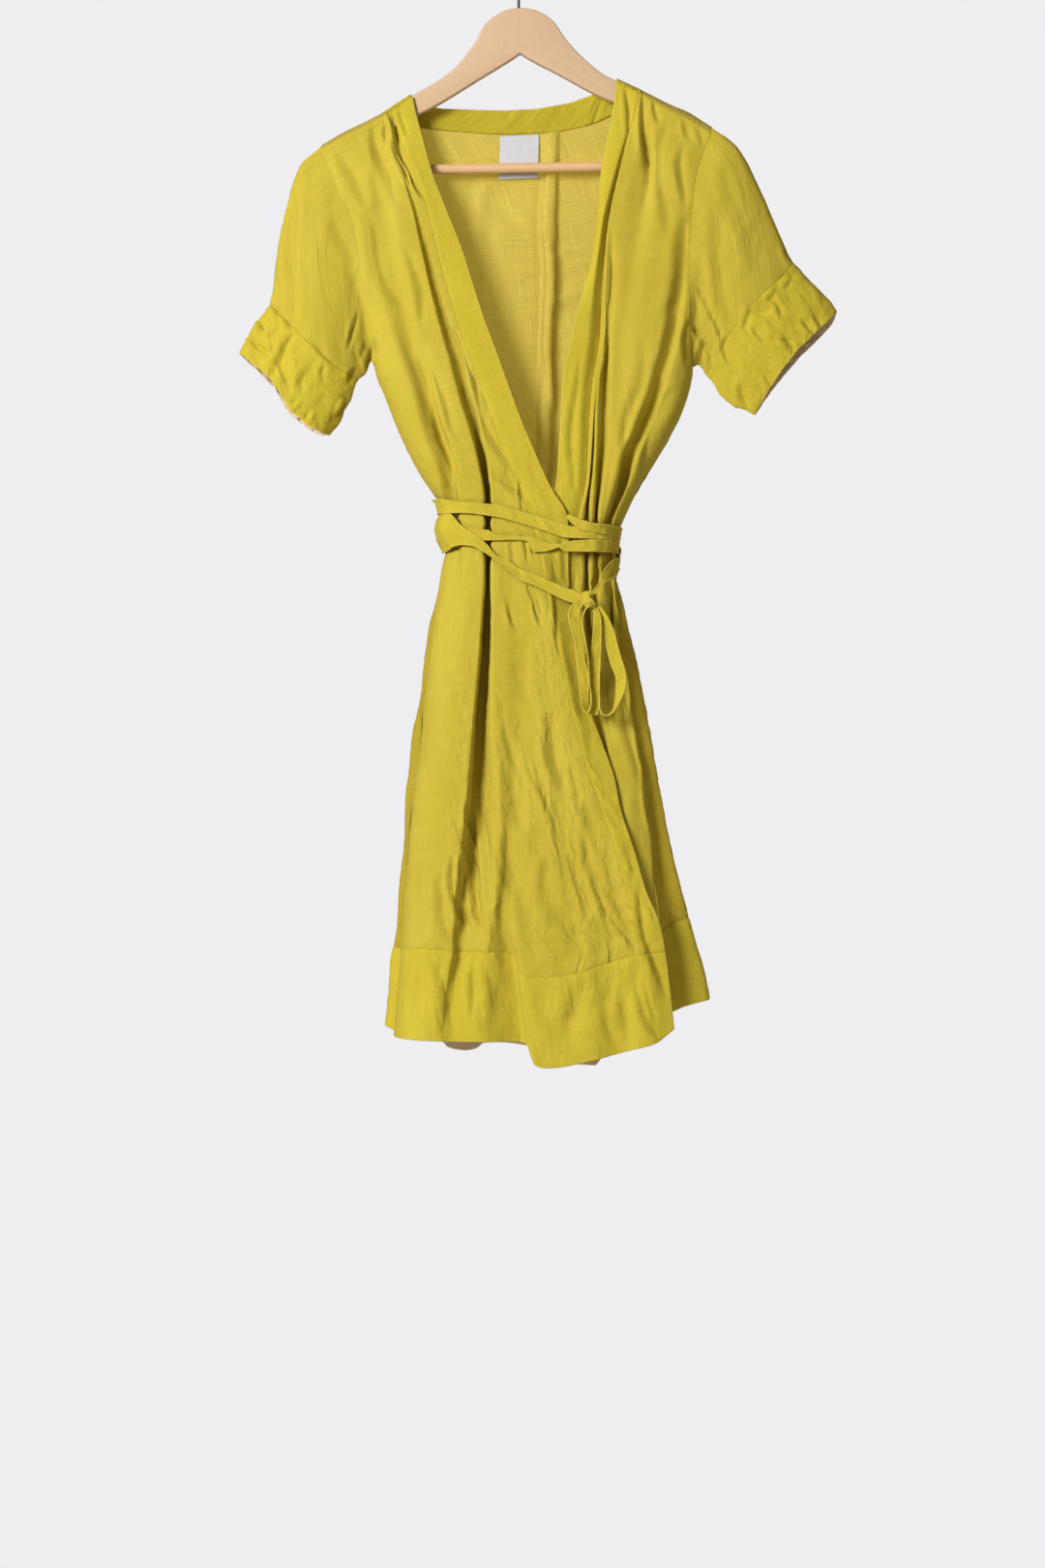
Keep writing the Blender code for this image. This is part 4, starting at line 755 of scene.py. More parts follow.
backHem = table(
    "x seam hem",
    (-142, 1024, 1108), (-110, 1034, 1122), (-84, 1038, 1128), (-76, 1040, 1136), (-60, 1041, 1139),
    (-46, 1042, 1136), (-38, 1042, 1130), (10, 1042, 1134), (50, 1046, 1149), (58, 1047, 1154),
    (78, 1047, 1154), (86, 1044, 1144), (130, 1024, 1116), (160, 1002, 1092), (201, 992, 1080))
neckLines = table(
    "drop leftOuter leftInner rightInner rightOuter",
    (145, -160, -139.5, 124.5, 150), (195, -160, -139.5, 125, 154), (240, -156, -138, 130, 156),
    (380, -136, -129, 146, 154), (500, -108, -101, 132, 138), (600, -75, -71, 88.5, 91),
    (640, -77, -75, 91, 94), (720, -88, -85, 103, 108), (900, -112, -108, 142, 148),
    (1130, -132, -128, 178, 186))
backTop = table(
    "x drop",
    (-206, 206), (-180, 191), (-155, 179), (-139.5, 170), (-133, 169.5), (-118, 174), (-96, 179),
    (-60, 182), (-20, 184.5), (20, 183.5), (62, 177.5), (92, 166.5), (110, 156.5), (120, 150.5),
    (124.5, 149), (139, 156), (155, 164), (174, 172), (185, 179), (199, 188))
creaseColumns = "fromX fromDrop toX toDrop width depth bend"

dress = {
    "cloth": 0.75, "doubled": 1.7,      # thickness of one layer, and of a turned band
    "hem": 1.36, "label": 0.6,
    "spacing": 2.4, "spacingBack": 3.4, "rows": (24, 124, 132, 32), "soft": 1,
    "relief": 2.0, "crumb": 0.9, "pucker": 0.7, "ditch": 1.5,
}
hemRow = sum(dress["rows"][:3])
tied = (562, 672, 3)        # first and last drop of the ties, and how softly they press
# creases of the right front: the pulls under the shoulder pleats, along the bust, below the ties
# and in the skirt, uneven as the cloth hangs
rightCreases = table(
    creaseColumns,
    (-124, 162, -118, 192, 3.5, 1.6, 1), (-136, 166, -127, 196, 3.5, 1.8, -1),
    (-139, 178, -138, 198, 3, 1, 0), (-131, 194, -128, 222, 3.5, 1.4, 0),
    (-134, 165, -101, 258, 4.5, 3.6, 4), (-150, 180, -128, 262, 7, 1.6, 3),
    (-186, 206, -152, 262, 9, 1.5, 5), (-160, 268, -120, 372, 10, 1.6, 4),
    (-152, 400, -154, 434, 4, 2.2, 0), (-167, 374, -177, 412, 4, 2, 1), (-118, 300, -98, 392, 8, 1.4, -2),
    (-100, 400, -66, 500, 7, 1.8, 3), (-70, 392, -34, 486, 7, 1.4, -4), (-88, 470, -62, 556, 5, 2, 2),
    (-52, 430, -12, 540, 7, 1.5, 3), (-30, 540, 12, 576, 5, 1.6, -2), (-20, 628, 0, 700, 6, 0.5, 3),
    (8, 654, 20, 700, 3, 1.0, -4), (-12, 676, -4, 706, 3, 0.7, 0), (4, 700, 14, 790, 9, 0.5, 4),
    (20, 640, 40, 720, 6, 0.4, -3), (-66, 640, -74, 760, 10, 1.2, 3), (-16, 800, 18, 930, 9, 0.9, 8),
    (8, 830, 52, 980, 9, 1.0, -8), (30, 780, 60, 900, 8, 0.8, 5), (50, 840, 84, 960, 6, 1.4, -4),
    (62, 902, 122, 1032, 7, 2.3, 5), (24, 930, 62, 1036, 10, 1.8, 6), (86, 900, 112, 1010, 7, 1.6, 3),
    (-20, 900, 10, 1040, 9, 1.2, -5), (-84, 950, -64, 1024, 9, 1.4, 4), (-110, 880, -96, 1010, 12, 1.3, 3),
    (-96, 760, -104, 900, 12, 1.0, -4), (-80, 1040, -76, 1118, 8, 1.5, 0),
    (112, 1046, 136, 1120, 8, 2.2, -3), (60, 1060, 52, 1140, 8, 1.5, 2), (92, 1050, 96, 1130, 7, 1.2, 3),
    (20, 1064, 36, 1140, 7, 1.4, 0), (-44, 1042, -40, 1118, 7, 1.0, 0), (34, 650, 42, 730, 3, 1.2, 2),
    (40, 600, 46, 650, 4, 1.6, 0), (118, 960, 148, 1080, 6, 1.5, 2), (69, 955, 116, 1028, 3, 2.6, 3),
    (67, 948, 94, 1022, 3, 2.2, -3), (-70, 930, -58, 1010, 5, 1.6, 2), (-60, 920, -50, 960, 3, 1.5, 0),
    (-52, 900, -46, 1020, 5, 1.8, -3), (-64, 1030, -70, 1118, 7, 0.8, 2),
    (-36, 1036, -26, 1116, 9, 1.6, -3), (60, 1056, 50, 1132, 10, 2.0, 3), (104, 1046, 118, 1122, 9, 2.4, 3),
    (84, 1050, 78, 1096, 9, 1.2, 0), (126, 1056, 136, 1108, 4, 1.2, -2),
    (-104, 1034, -108, 1116, 7, 1.2, 0), (-2, 545, 3, 580, 2.6, 1.6, 0), (-10, 606, -6, 646, 3, 1.5, 1),
    (2, 604, 6, 634, 2.6, 1.3, -1), (8, 657, 14, 674, 2.2, 1.7, 1.5), (13, 672, 18, 697, 2.2, 1.7, -1),
    (-12, 680, -7, 702, 2.2, 1.0, 0), (-18, 772, 6, 866, 4, 0.8, 6), (8, 842, 50, 968, 4, 1.0, -6),
    (-44, 1030, -52, 1100, 4, 1.6, 0), (-56, 880, -40, 940, 3, 1.4, 2), (-44, 860, -34, 1000, 3.5, 1.6, -3),
    (-36, 900, -26, 1010, 3, 1.2, 3), (-50, 950, -38, 1024, 3, 1.6, 2), (44, 900, 76, 1010, 3.5, 1.2, 4),
    (30, 950, 60, 1040, 4, 1.2, -3))
leftCreases = table(
    creaseColumns,
    (109, 140, 112, 190, 3.5, 1.8, 0), (125, 147, 128, 268, 4.5, 2.6, -4),
    (139, 155, 142, 180, 3.5, 1.4, 0), (171, 173, 171, 196, 3.5, 1.4, 0), (170, 200, 168, 266, 6, 1.2, 2),
    (184, 180, 187, 202, 3, 1.0, 0), (150, 176, 152, 300, 8, 1.2, 6), (176, 268, 152, 380, 10, 1.6, -5),
    (182, 352, 205, 402, 4, 1.4, 0), (176, 380, 168, 430, 5, 1.8, 0), (142, 440, 118, 512, 7, 1.8, -3),
    (120, 500, 96, 590, 6, 2.2, 3), (96, 290, 90, 430, 6, 1.3, 2), (128, 400, 104, 520, 7, 1.3, -4),
    (60, 420, 52, 560, 5, 1.0, 1), (156, 450, 120, 560, 7, 1.4, 4), (70, 640, 80, 780, 6, 1.8, 3),
    (92, 650, 108, 800, 7, 1.6, -3), (104, 700, 120, 860, 7, 1.0, 3), (82, 800, 100, 960, 9, 0.8, 5),
    (118, 860, 132, 1000, 9, 0.6, -3), (100, 1000, 108, 1110, 8, 1.5, 2),
    (130, 1010, 138, 1108, 7, 1.2, -2), (70, 900, 84, 1020, 9, 1.2, 0), (94, 652, 101, 732, 4, 1.2, 0),
    (98, 690, 112, 770, 3, 1.6, 0), (108, 752, 127, 846, 3, 1.8, 0), (124, 830, 138, 930, 3, 1.8, 0),
    (135, 915, 143, 1010, 3, 1.6, 0), (142, 1000, 146, 1100, 3, 1.4, 0), (84, 690, 92, 760, 4, 1.4, 0),
    (88, 740, 96, 800, 4, 1.2, 1), (72, 650, 78, 700, 3.5, 1.6, 0))
backCreases = table(
    creaseColumns,
    (-120, 200, -96, 330, 9, 1.5, 5), (-40, 205, -46, 420, 10, 1.2, -3), (30, 198, 32, 480, 6, 2.2, 2),
    (110, 200, 96, 340, 9, 1.4, -5), (-150, 260, -120, 400, 9, 1.6, 6), (150, 270, 128, 420, 9, 1.5, -6),
    (-110, 420, -70, 560, 8, 2.0, 4), (-66, 450, -44, 590, 6, 1.8, 2), (-10, 430, -4, 590, 7, 1.6, -2),
    (66, 440, 50, 590, 6, 1.9, 2), (124, 440, 84, 570, 8, 2.2, -4), (0, 610, 8, 760, 7, 2.0, 4),
    (-50, 620, -62, 800, 8, 2.0, -5), (-70, 610, -92, 760, 7, 1.8, 3), (40, 615, 56, 790, 7, 2.1, -4),
    (78, 612, 104, 780, 8, 1.9, 4), (-84, 760, -100, 960, 12, 1.8, 6), (-24, 780, -30, 1000, 12, 1.6, -6),
    (34, 800, 40, 1010, 12, 1.7, 5), (96, 780, 128, 980, 11, 1.8, -5), (130, 860, 160, 1040, 9, 1.6, 3),
    (-116, 930, -122, 1090, 9, 1.5, 0), (-52, 990, -56, 1120, 9, 1.5, 3), (64, 1000, 72, 1130, 10, 1.6, -3),
    (8, 1010, 4, 1128, 8, 1.2, 2), (150, 1000, 172, 1084, 8, 1.4, 0), (-20, 250, 60, 300, 9, 0.8, 6),
    (-90, 340, -20, 372, 8, 0.8, -5), (20, 360, 110, 330, 9, 0.8, 5))
# how crumpled each panel is, and where more: share, x from and to, drop from and to, with blurs
allAcross = (-999, 999, 1)
rightBusy = (0.08, (
    (0.14, allAcross, (640, 1200, 20)), (0.3, (-10, 140, 12), (720, 1060, 40)),
    (0.45, allAcross, (500, 630, 20)), (0.9, (-66, -18, 5), (820, 1030, 20)),
    (0.45, (30, 130, 10), (900, 1040, 20))))
leftBusy = (0.09, ((0.4, allAcross, (500, 760, 25)),))
backBusy = (0.12, ((0.5, allAcross, (470, 1000, 40)),))


def bound(x, drop):
    # 1 where a strand of the tie passes over the front, 0 away from them
    left = read(body, "leftOut", drop)
    right = read(body, "rightOut", drop)
    turn = 1 - np.arccos(np.clip((2 * x - left - right) / (right - left), -1, 1)) / math.pi
    near = np.zeros(x.shape)
    for rows in ties.values():
        first = rows["turn"][0]
        if first < 1:
            above = read(rows, "upper", turn) - drop
            below = drop - read(rows, "lower", turn)
            beyond = np.maximum(np.maximum(above, below), 0) / 3.0
            beyond += 40 * np.maximum(np.maximum(first - turn, turn - rows["turn"][-1]), 0)
            near = np.maximum(near, np.exp(-beyond ** 2))
    return near


def pucker(points, inward, row, seed, much, reach=9.0):
    # a gathered look beside the seam that runs along one row of the grid
    along = runs(points, 0)
    down = runs(points, 1)
    away = np.abs(down - down[:, row][:, None])
    shape = cloud(along / 5.2 + 20, away / 9.0 + 20, seed) * np.exp(-(away / reach) ** 2)
    shape += (0.8 + 0.5 * cloud(along / 9.0 + 20, away * 0 + 20.5, seed + 1)) * np.exp(-(away / 1.6) ** 2)
    return points + inward * (shape * much)[..., None]


def rumple(points, hint, creases, lean, busy, seed, puckerSeed):
    # moves a panel's points in and out: placed creases, then small ones where busy says, and
    # puckers at the hem band's seam. Under the ties the cloth only goes inward, away from them
    inward = -facing(points, hint)
    x = points[..., 0]
    drop = -points[..., 2]
    crowded = crowd(busy, x, drop)
    move = troughs(points, creases)
    for share, across, along, step in ((0.7, 13.0, 42.0, 0), (0.6, 7.0, 24.0, 7)):
        move += share * dress["crumb"] * crowded * crumple(points, lean, across, along, seed + step)
    move += 0.3 * crumple(points, -1.6, 12.0, 30.0, seed + 5)
    low = (-points[:, -1, 2])[:, None]
    move *= np.clip((low - drop) / 6, 0.35, 1)      # the hem keeps its line
    held = within(drop, *tied)
    under = bound(x, drop) if hint == front else 0.6
    move = move * (1 - held) + (np.clip(0.6 * move, -0.7, 3) + 2.1 * under - 0.8) * held
    points = points + inward * move[..., None]
    points = pucker(points, -facing(points, hint), hemRow, puckerSeed, dress["pucker"])
    return points, np.clip(crowded, 0, 1.3)


def sink(points, line, deep):
    # the seam beside a front band lies in a shallow ditch
    reach = np.abs(points[..., 0] - points[line][None, :, 0])
    return points - facing(points, front) * (deep * np.exp(-(reach / dress["ditch"]) ** 2))[..., None]


def cutOut(name, points, busy, lines, rows, thick, looks, edges, seams, hint=front):
    # one piece out of a whole panel
    return thickShell(name, points[lines, rows], hint, thick, looks, edges=edges, seams=seams,
                      busy=busy[lines, rows])


def addFronts(cloths):
    plain = (cloths["plain"], cloths["plain"])
    doubled = (cloths["doubled"], cloths["doubled"])
    faced = (cloths["doubled"], cloths["facing"])
    upper = slice(0, hemRow + 1)
    lower = slice(hemRow, None)
    top = (shoulders, "seam")
    right, starts = panel(rightFrontNet, top, rightHem, dress["spacing"])
    right, busy = rumple(right, front, rightCreases, 0.22, rightBusy, 3, 21)
    seam = starts[-3]
    right = sink(right, seam, 0.35)
    pieces = [
        cutOut("front_right_cloth", right, busy, slice(0, seam + 1), upper, dress["cloth"], plain,
               "left", "right top bottom"),
        cutOut("frontband_right_cloth", right, busy, slice(seam, None), upper, dress["doubled"], doubled,
               "right", "left top bottom"),
        cutOut("hemband_right_cloth", right, busy, slice(None), lower, dress["hem"], faced,
               "right bottom", "left top")]
    left, starts = panel(leftFrontNet, top, leftHem, dress["spacing"])
    left, busy = rumple(left, front, leftCreases, -0.12, leftBusy, 9, 23)
    seam = starts[4]
    left = sink(left, seam, 0.5)
    pieces += [
        cutOut("frontband_left_cloth", left, busy, slice(0, seam + 1), upper, dress["doubled"], doubled,
               "left", "right top bottom"),
        cutOut("front_left_cloth", left, busy, slice(seam, None), upper, dress["cloth"], plain,
               "", "left right top bottom"),
        cutOut("hemband_left_cloth", left, busy, slice(None), lower, dress["hem"], faced,
               "left bottom", "right top")]
    return right, left, pieces


# y and the distance below the ridge, from the front of the shoulder over it to behind
shoulderSection = ((-6.5, 1.2), (-3.4, 0.25), (0, 0), (3.4, 0.25), (6.5, 1.2))


def shoulderCap(x, y, z):
    # a line of the back over the top of the shoulder, up from the front's seam at y and z
    ridge = float(read(shoulders, "ridge", x))
    over = [(aside, -ridge - below) for aside, below in shoulderSection]
    return np.array([(x, *place) for place in [(y, z + 0.3), (y + 0.5, z + 2.2)] + over])


def addBack(right, left, neckRows, cloths):
    points, _ = panel(backNet, (backTop, "drop"), backHem, dress["spacingBack"])
    places = points[:, 0, 0]
    inside = neckRows["seamY"] > armBack - 0.1
    neckX = neckRows["seamX"][inside]
    atNeck = np.flatnonzero((places > neckX[0] + 1) & (places < neckX[-1] - 1))
    points[atNeck, 0, 1] = np.interp(places[atNeck], neckX, neckRows["seamY"][inside])
    points, busy = rumple(points, rear, backCreases, 0.0, backBusy, 15, 25)
    seamLine = points[atNeck, 0].copy()
    top = np.concatenate([right[:, 0], left[:, 0]])
    top = top[np.argsort(top[:, 0])]
    caps = np.array([shoulderCap(x, np.interp(x, top[:, 0], top[:, 1]), np.interp(x, top[:, 0], top[:, 2]))
                     for x in inOrder(places, places[0] - 0.1, places[-1] + 0.1, 0.1)])
    whole = np.concatenate([caps, points], axis=1)[:, :caps.shape[1] + 1]
    pieces = [thickShell("back_shoulder_" + name, whole[part], rear, dress["cloth"],
                         (cloths["back"], cloths["back"]), seams="top")
              for name, part in (("right", slice(0, atNeck[0] + 1)), ("left", slice(atNeck[-1], None)))]
    pieces.append(cutOut("back_cloth", points, busy, slice(None), slice(0, hemRow + 1), dress["cloth"],
                         (cloths["backOuter"], cloths["back"]), "", "left right bottom", rear))
    pieces.append(cutOut("hemband_back_cloth", points, busy, slice(None), slice(hemRow, None), dress["hem"],
                         (cloths["doubled"], cloths["facing"]), "bottom", "left right top", rear))
    return seamLine, pieces


def smoothLine(rows, count):
    # a rounded line through points, in even steps
    rows = np.asarray(rows, float)
    stops = runs(rows)
    at = np.linspace(0, stops[-1], count)
    return np.column_stack([glide(stops, rows[:, way], at) for way in range(rows.shape[1])])


neckLook = {"lines": 150, "rows": 10, "ripple": 0.35, "sunk": 0.4}
neck = table(
    "seamX seamY seamDrop edgeX edgeY edgeDrop",
    (-139.2, -9.4, 168.3, -114, -9.4, 152), (-139.2, -6.5, 165.2, -114, -6.5, 148.8),
    (-139.2, 0, 164, -114, 0, 147.6), (-139.2, 6.5, 165.2, -113.5, 6.5, 149),
    (-139.2, 8.7, 169.6, -111, 9.2, 153.5), (-133, 11.2, 169.8, -107, 11.4, 154.5),
    (-118, 14.5, 174, -96, 14, 157), (-96, 16, 179, -82, 16, 159), (-60, 16.8, 182, -56, 16.8, 160),
    (-20, 17.1, 184.5, -20, 17.1, 161), (20, 17, 183.5, 16, 17, 159.5), (62, 16.6, 177.5, 52, 16.6, 153),
    (92, 15, 166.5, 76, 15, 144.5), (110, 13, 156.5, 90, 13, 137.8), (120, 10.6, 150.5, 96.5, 11, 136),
    (124.2, 8.7, 148.6, 98.5, 9, 136), (124.2, 6.5, 143.8, 99.5, 6.5, 132.8),
    (124.2, 0, 142.6, 100, 0, 131.4), (124.2, -6.5, 143.8, 100, -6.5, 132.6),
    (124.2, -9.4, 147.2, 100, -9.4, 135.7))


def addNeckband(seamLine, look):
    # a band from the back's seam up to its own edge, on over the shoulders at both ends
    seamRows = np.column_stack([neck["seamX"], neck["seamY"], -neck["seamDrop"]])
    edgeRows = np.column_stack([neck["edgeX"], neck["edgeY"], -neck["edgeDrop"]])
    before = neck["seamX"] < seamLine[0, 0]
    beyond = neck["seamX"] > seamLine[-1, 0]
    behind = neck["seamY"] > 0
    edgeLine = np.column_stack([np.interp(seamLine[:, 0], neck["seamX"][behind], edgeRows[behind, way])
                                for way in range(3)])
    seam = np.concatenate([seamRows[before], seamLine, seamRows[beyond]])
    edge = np.concatenate([edgeRows[before], edgeLine, edgeRows[beyond]])
    seam = soften(smoothLine(seam, neckLook["lines"]), 2)
    edge = soften(smoothLine(edge, neckLook["lines"]), 2)
    share = np.linspace(0, 1, neckLook["rows"])[None, :, None]
    points = edge[:, None] * (1 - share) + seam[:, None] * share
    along = np.arange(neckLook["lines"])[:, None]
    points[:, :, 1] += neckLook["ripple"] * cloud(along / 6.0 + 9, share[..., 0] * 3 + 9, 31)
    points[:, -1, 1] -= neckLook["sunk"]
    return thickShell("neckband_back_cloth", points, rear, dress["doubled"], (look, look), edges="top",
                      seams="bottom left right")


# lines from the armhole to the cuff's edge: name, drop at the armhole, then x, drop and depth of
# six points, of which the fourth is at the cuff's seam
leftSleeve = [
    ("top", 182, (221, 250, 274, 284, 306, 328), (197, 248, 303, 320, 344, 368), (0, 0, 0, 0, 0, 0)),
    ("crown", 183, (220, 249, 273, 283, 305, 326), (198, 249, 304, 321, 345, 369),
     (6.5, 6.5, 6, 5, 5, 4.5)),
    ("brow", 189, (217, 246, 270, 279, 300, 321), (202, 252, 308, 327, 352, 378), (10, 10, 9.5, 9, 10, 9)),
    ("upper_front", 214, (208, 235, 258, 266, 287, 308), (224, 271, 325, 341, 366, 391),
     (16, 17, 16, 15, 16, 14)),
    ("middle", 262, (196, 219, 240, 250, 270, 289), (262, 296, 340, 355, 382, 409),
     (21, 22, 21, 20, 21, 18)),
    ("lower_front", 318, (187, 204, 222, 232, 252, 271), (312, 334, 362, 374, 403, 431),
     (20, 21, 21, 20, 21, 19)),
    ("under_front", 374, (182, 190, 202, 212, 234, 256), (368, 380, 394, 403, 428, 453),
     (12, 13, 14, 14, 15, 13)),
    ("under", 429, (182.5, 185.5, 188.5, 191.5, 211, 241), (430.5, 432.5, 435, 440, 465, 480),
     (0, 0, 0, 0, 0, 0)),
]
rightSleeve = [
    ("top", 201, (-228, -242, -254, -261, -281, -291), (220, 265, 326, 364, 391, 413), (0, 0, 0, 0, 0, 0)),
    ("crown", 202, (-227, -241, -252.5, -259.5, -279.5, -289.5), (221, 265.5, 326.5, 365, 392, 414),
     (6.5, 6.5, 6, 5, 5.5, 4.5)),
    ("brow", 208, (-224, -237, -247, -252, -268, -277), (224, 268, 329, 372, 399, 425),
     (10, 10, 9.5, 9, 11, 9)),
    ("lip", 234, (-210, -229, -231, -236, -248, -257), (240, 279, 338, 389, 415, 443),
     (16, 19, 20, 17, 19, 16)),
    ("middle", 272, (-190, -207, -209, -216, -228, -238), (272, 302, 352, 408, 441, 474),
     (21, 23, 23, 22, 23, 19)),
    ("lower_front", 320, (-173, -184, -189, -198, -210, -219), (318, 336, 372, 424, 458, 490),
     (20, 22, 22, 21, 21, 18)),
    ("under_front", 376, (-161, -166, -171, -181, -192, -205), (374, 385, 402, 436, 466, 497),
     (12, 13, 14, 14, 14, 12)),
    ("under", 430, (-155.5, -158.5, -162, -166, -177, -196), (432, 435, 438.5, 442, 468, 499),
     (0, 0, 0, 0, 0, 0)),
]
sleeveLook = {
    "around": 2.8, "along": (40, 28), "cloth": 0.75, "cuff": 1.25, "crumb": 0.4, "cuffCrumb": 0.65,
    "pucker": 0.35, "edge": 0.5,
    "tucked": 0.4, "sunk": 0.15,        # how far the armhole's edge lies inside and behind the body
    "behind": 14.0,                     # the same pulls lie a little lower behind
}
leftSleeveCreases = table(
    creaseColumns,
    (184, 350, 192, 368, 2.6, 1.6, 0), (190, 362, 207, 404, 2.6, 1.9, -1), (198, 306, 222, 378, 9, 1.0, 4),
    (239, 388, 250, 404, 2.8, 1.7, 0), (250, 403.5, 292, 404, 2.8, 1.4, -1.5),
    (260, 360, 267, 382, 3.5, 1.3, -2), (290, 380, 302, 396, 3, 1.7, 0), (303, 378, 310, 388, 3, 1.4, 0),
    (190, 230, 206, 330, 10, 0.7, -4), (214, 220, 252, 330, 12, 0.6, 6), (176, 380, 192, 402, 4, 2.2, 2),
    (190, 398, 196, 424, 4, 2.4, 1), (206, 412, 229, 429, 4, 1.6, 2), (224, 444, 238, 468, 4.5, 1.4, 2),
    (250, 438, 260, 448, 3, 1.2, 0), (270, 300, 300, 330, 5, 0.9, 2), (232, 372, 262, 368, 5, 1.2, 3),
    (262, 344, 292, 330, 4, 1.0, -2), (272, 392, 284, 420, 5, 1.1, 2), (186, 404, 184, 430, 5, 2.6, 0),
    (240, 372, 228, 392, 4, 1.3, 0), (262, 352, 256, 366, 3.5, 1.2, 0), (280, 336, 272, 352, 3.5, 1.2, 0),
    (214, 398, 208, 418, 3.5, 1.2, 0))
rightSleeveCreases = table(
    creaseColumns,
    (-285, 395, -256, 418, 3.2, 2.6, 2), (-231, 396, -260, 444, 5, 2.6, 2),
    (-167, 374, -178, 412, 2.6, 1.9, 1.5), (-153, 400, -156, 434, 4.5, 2.6, 0),
    (-159, 402, -164, 420, 3, 1.6, 0), (-272, 380, -262, 392, 3.5, 2.4, 0),
    (-190, 230, -170, 330, 10, 0.8, 5), (-234, 240, -236, 396, 7, 1.9, 0),
    (-255, 406, -257, 418, 2.8, 1.4, 0), (-249, 424, -237, 454, 4, 1.8, 2),
    (-260, 444, -238, 470, 4, 2.0, 3), (-240, 474, -230, 462, 3, 1.6, 0), (-224, 486, -214, 476, 3, 1.4, 0),
    (-262, 362, -236, 392, 3.5, 1.8, -2), (-254, 372, -248, 386, 3, 1.5, 0),
    (-170, 430, -178, 446, 3.2, 1.6, 0), (-179, 462, -188, 482, 4, 2.4, 0),
    (-246, 392, -262, 404, 3.5, 1.4, 1), (-214, 430, -226, 462, 6, 1.0, 2),
    (-206, 205, -224, 262, 9, 0.7, 2), (-222, 404, -190, 430, 4, 1.1, -3),
    (-278, 404, -270, 424, 4, 1.4, 0), (-250, 440, -262, 430, 3, 1.3, 0), (-200, 428, -206, 446, 4, 1.0, 0))


def sleeveGrid(rows, armhole, outward, beyond):
    # named lines from the top of the sleeve to its underside, then back behind it
    lines = []
    for name, drop, x, drops, depth in rows:
        away = 1.0 if name == "under" else -sleeveLook["tucked"]
        start = np.interp(drop, -armhole[:, 2], armhole[:, 0]) + outward * away
        arm = 0.0 if name in ("top", "under") else -np.interp(drop, -armhole[:, 2], armhole[:, 1])
        arm = depth[0] if name == "crown" else arm
        lines.append([(start, -arm, -drop)] + [(a, -c, -b) for a, b, c in zip(x, drops, depth)])
    lines += [[(x, -y, z) for x, y, z in line] for line in lines[-2:0:-1]]
    lines = np.array(lines, float)
    rearward = np.sin(np.linspace(0, math.pi, len(rows)))[1:-1]     # the cuff is longer behind
    lines[len(rows):, -1, 0] += rearward * beyond[0]
    lines[len(rows):, -1, 2] -= rearward * beyond[1]
    upper, lower = sleeveLook["along"]
    grid = []
    for line, stop in zip(lines, runs(lines, 1)):
        at = np.concatenate([np.linspace(0, stop[4], upper, endpoint=False),
                             np.linspace(stop[4], stop[6], lower + 1)])
        grid.append(np.column_stack([glide(stop, line[:, way], at) for way in range(3)]))
    grid = np.array(grid)
    fine = []
    for line, after in zip(grid, np.roll(grid, -1, axis=0)):
        count = max(2, round(np.linalg.norm(after - line, axis=1).mean() / sleeveLook["around"]))
        for part in np.arange(count) / count:
            fine.append(line * (1 - part) + after * part)
    fine = np.array(fine)
    start = fine[:, 0].copy()
    fine = softenRing(fine, 5)
    exact = start.copy()
    exact[:, 0] = np.interp(-start[:, 2], -armhole[:, 2], armhole[:, 0]) - outward * sleeveLook["tucked"]
    depth = -np.interp(-start[:, 2], -armhole[:, 2], armhole[:, 1]) - sleeveLook["sunk"]
    exact[:, 1] = np.sign(start[:, 1]) * np.minimum(depth, np.abs(start[:, 1]) * 1.6)
    fade = np.clip(1 - np.arange(fine.shape[1]) / 9, 0, 1)[None, :, None] ** 2
    return fine + (exact - fine[:, 0])[:, None] * fade, upper


def addSleeve(name, rows, armhole, outward, beyond, creases, cloths, seed):
    points, seam = sleeveGrid(rows, armhole, outward, beyond)
    normal = facing(points)
    behind = points.copy()
    behind[..., 2] += sleeveLook["behind"]
    side = np.clip(0.5 - 0.8 * normal[..., 1], 0, 1)
    move = troughs(points, creases) * side + troughs(behind, creases) * (1 - side)
    move += sleeveLook["crumb"] * crumple(points, -0.5 * outward, 15.0, 34.0, seed)
    row = np.arange(points.shape[1])
    cuffRows = np.clip((row - seam) / 3, 0, 1)[None]
    move += sleeveLook["cuffCrumb"] * cuffRows * crumple(points, 0.9 * outward, 11.0, 15.0, seed + 3)
    move *= np.clip(row / 6, 0, 1)[None]        # the armhole's seam stays where it is
    points = points - normal * move[..., None]
    points = pucker(points, -facing(points), seam, seed + 7, sleeveLook["pucker"])
    around = np.arange(len(points)) / 4.0
    points[:, -1] += sleeveLook["edge"] * np.stack(
        [cloud(around + way * 9, 0 * around + 5.5, seed + 8) for way in range(3)], axis=1)
    upper = thickShell("sleeve_" + name + "_cloth", points[:, :seam + 1], None, sleeveLook["cloth"],
                       (cloths["plain"], cloths["plain"]), ring=True, seams="bottom", busy=0.25)
    cuff = thickShell("cuff_" + name + "_cloth", points[:, seam:], None, sleeveLook["cuff"],
                      (cloths["doubled"], cloths["facing"]), ring=True, edges="bottom", seams="top", busy=0.5)
    return [upper, cuff]


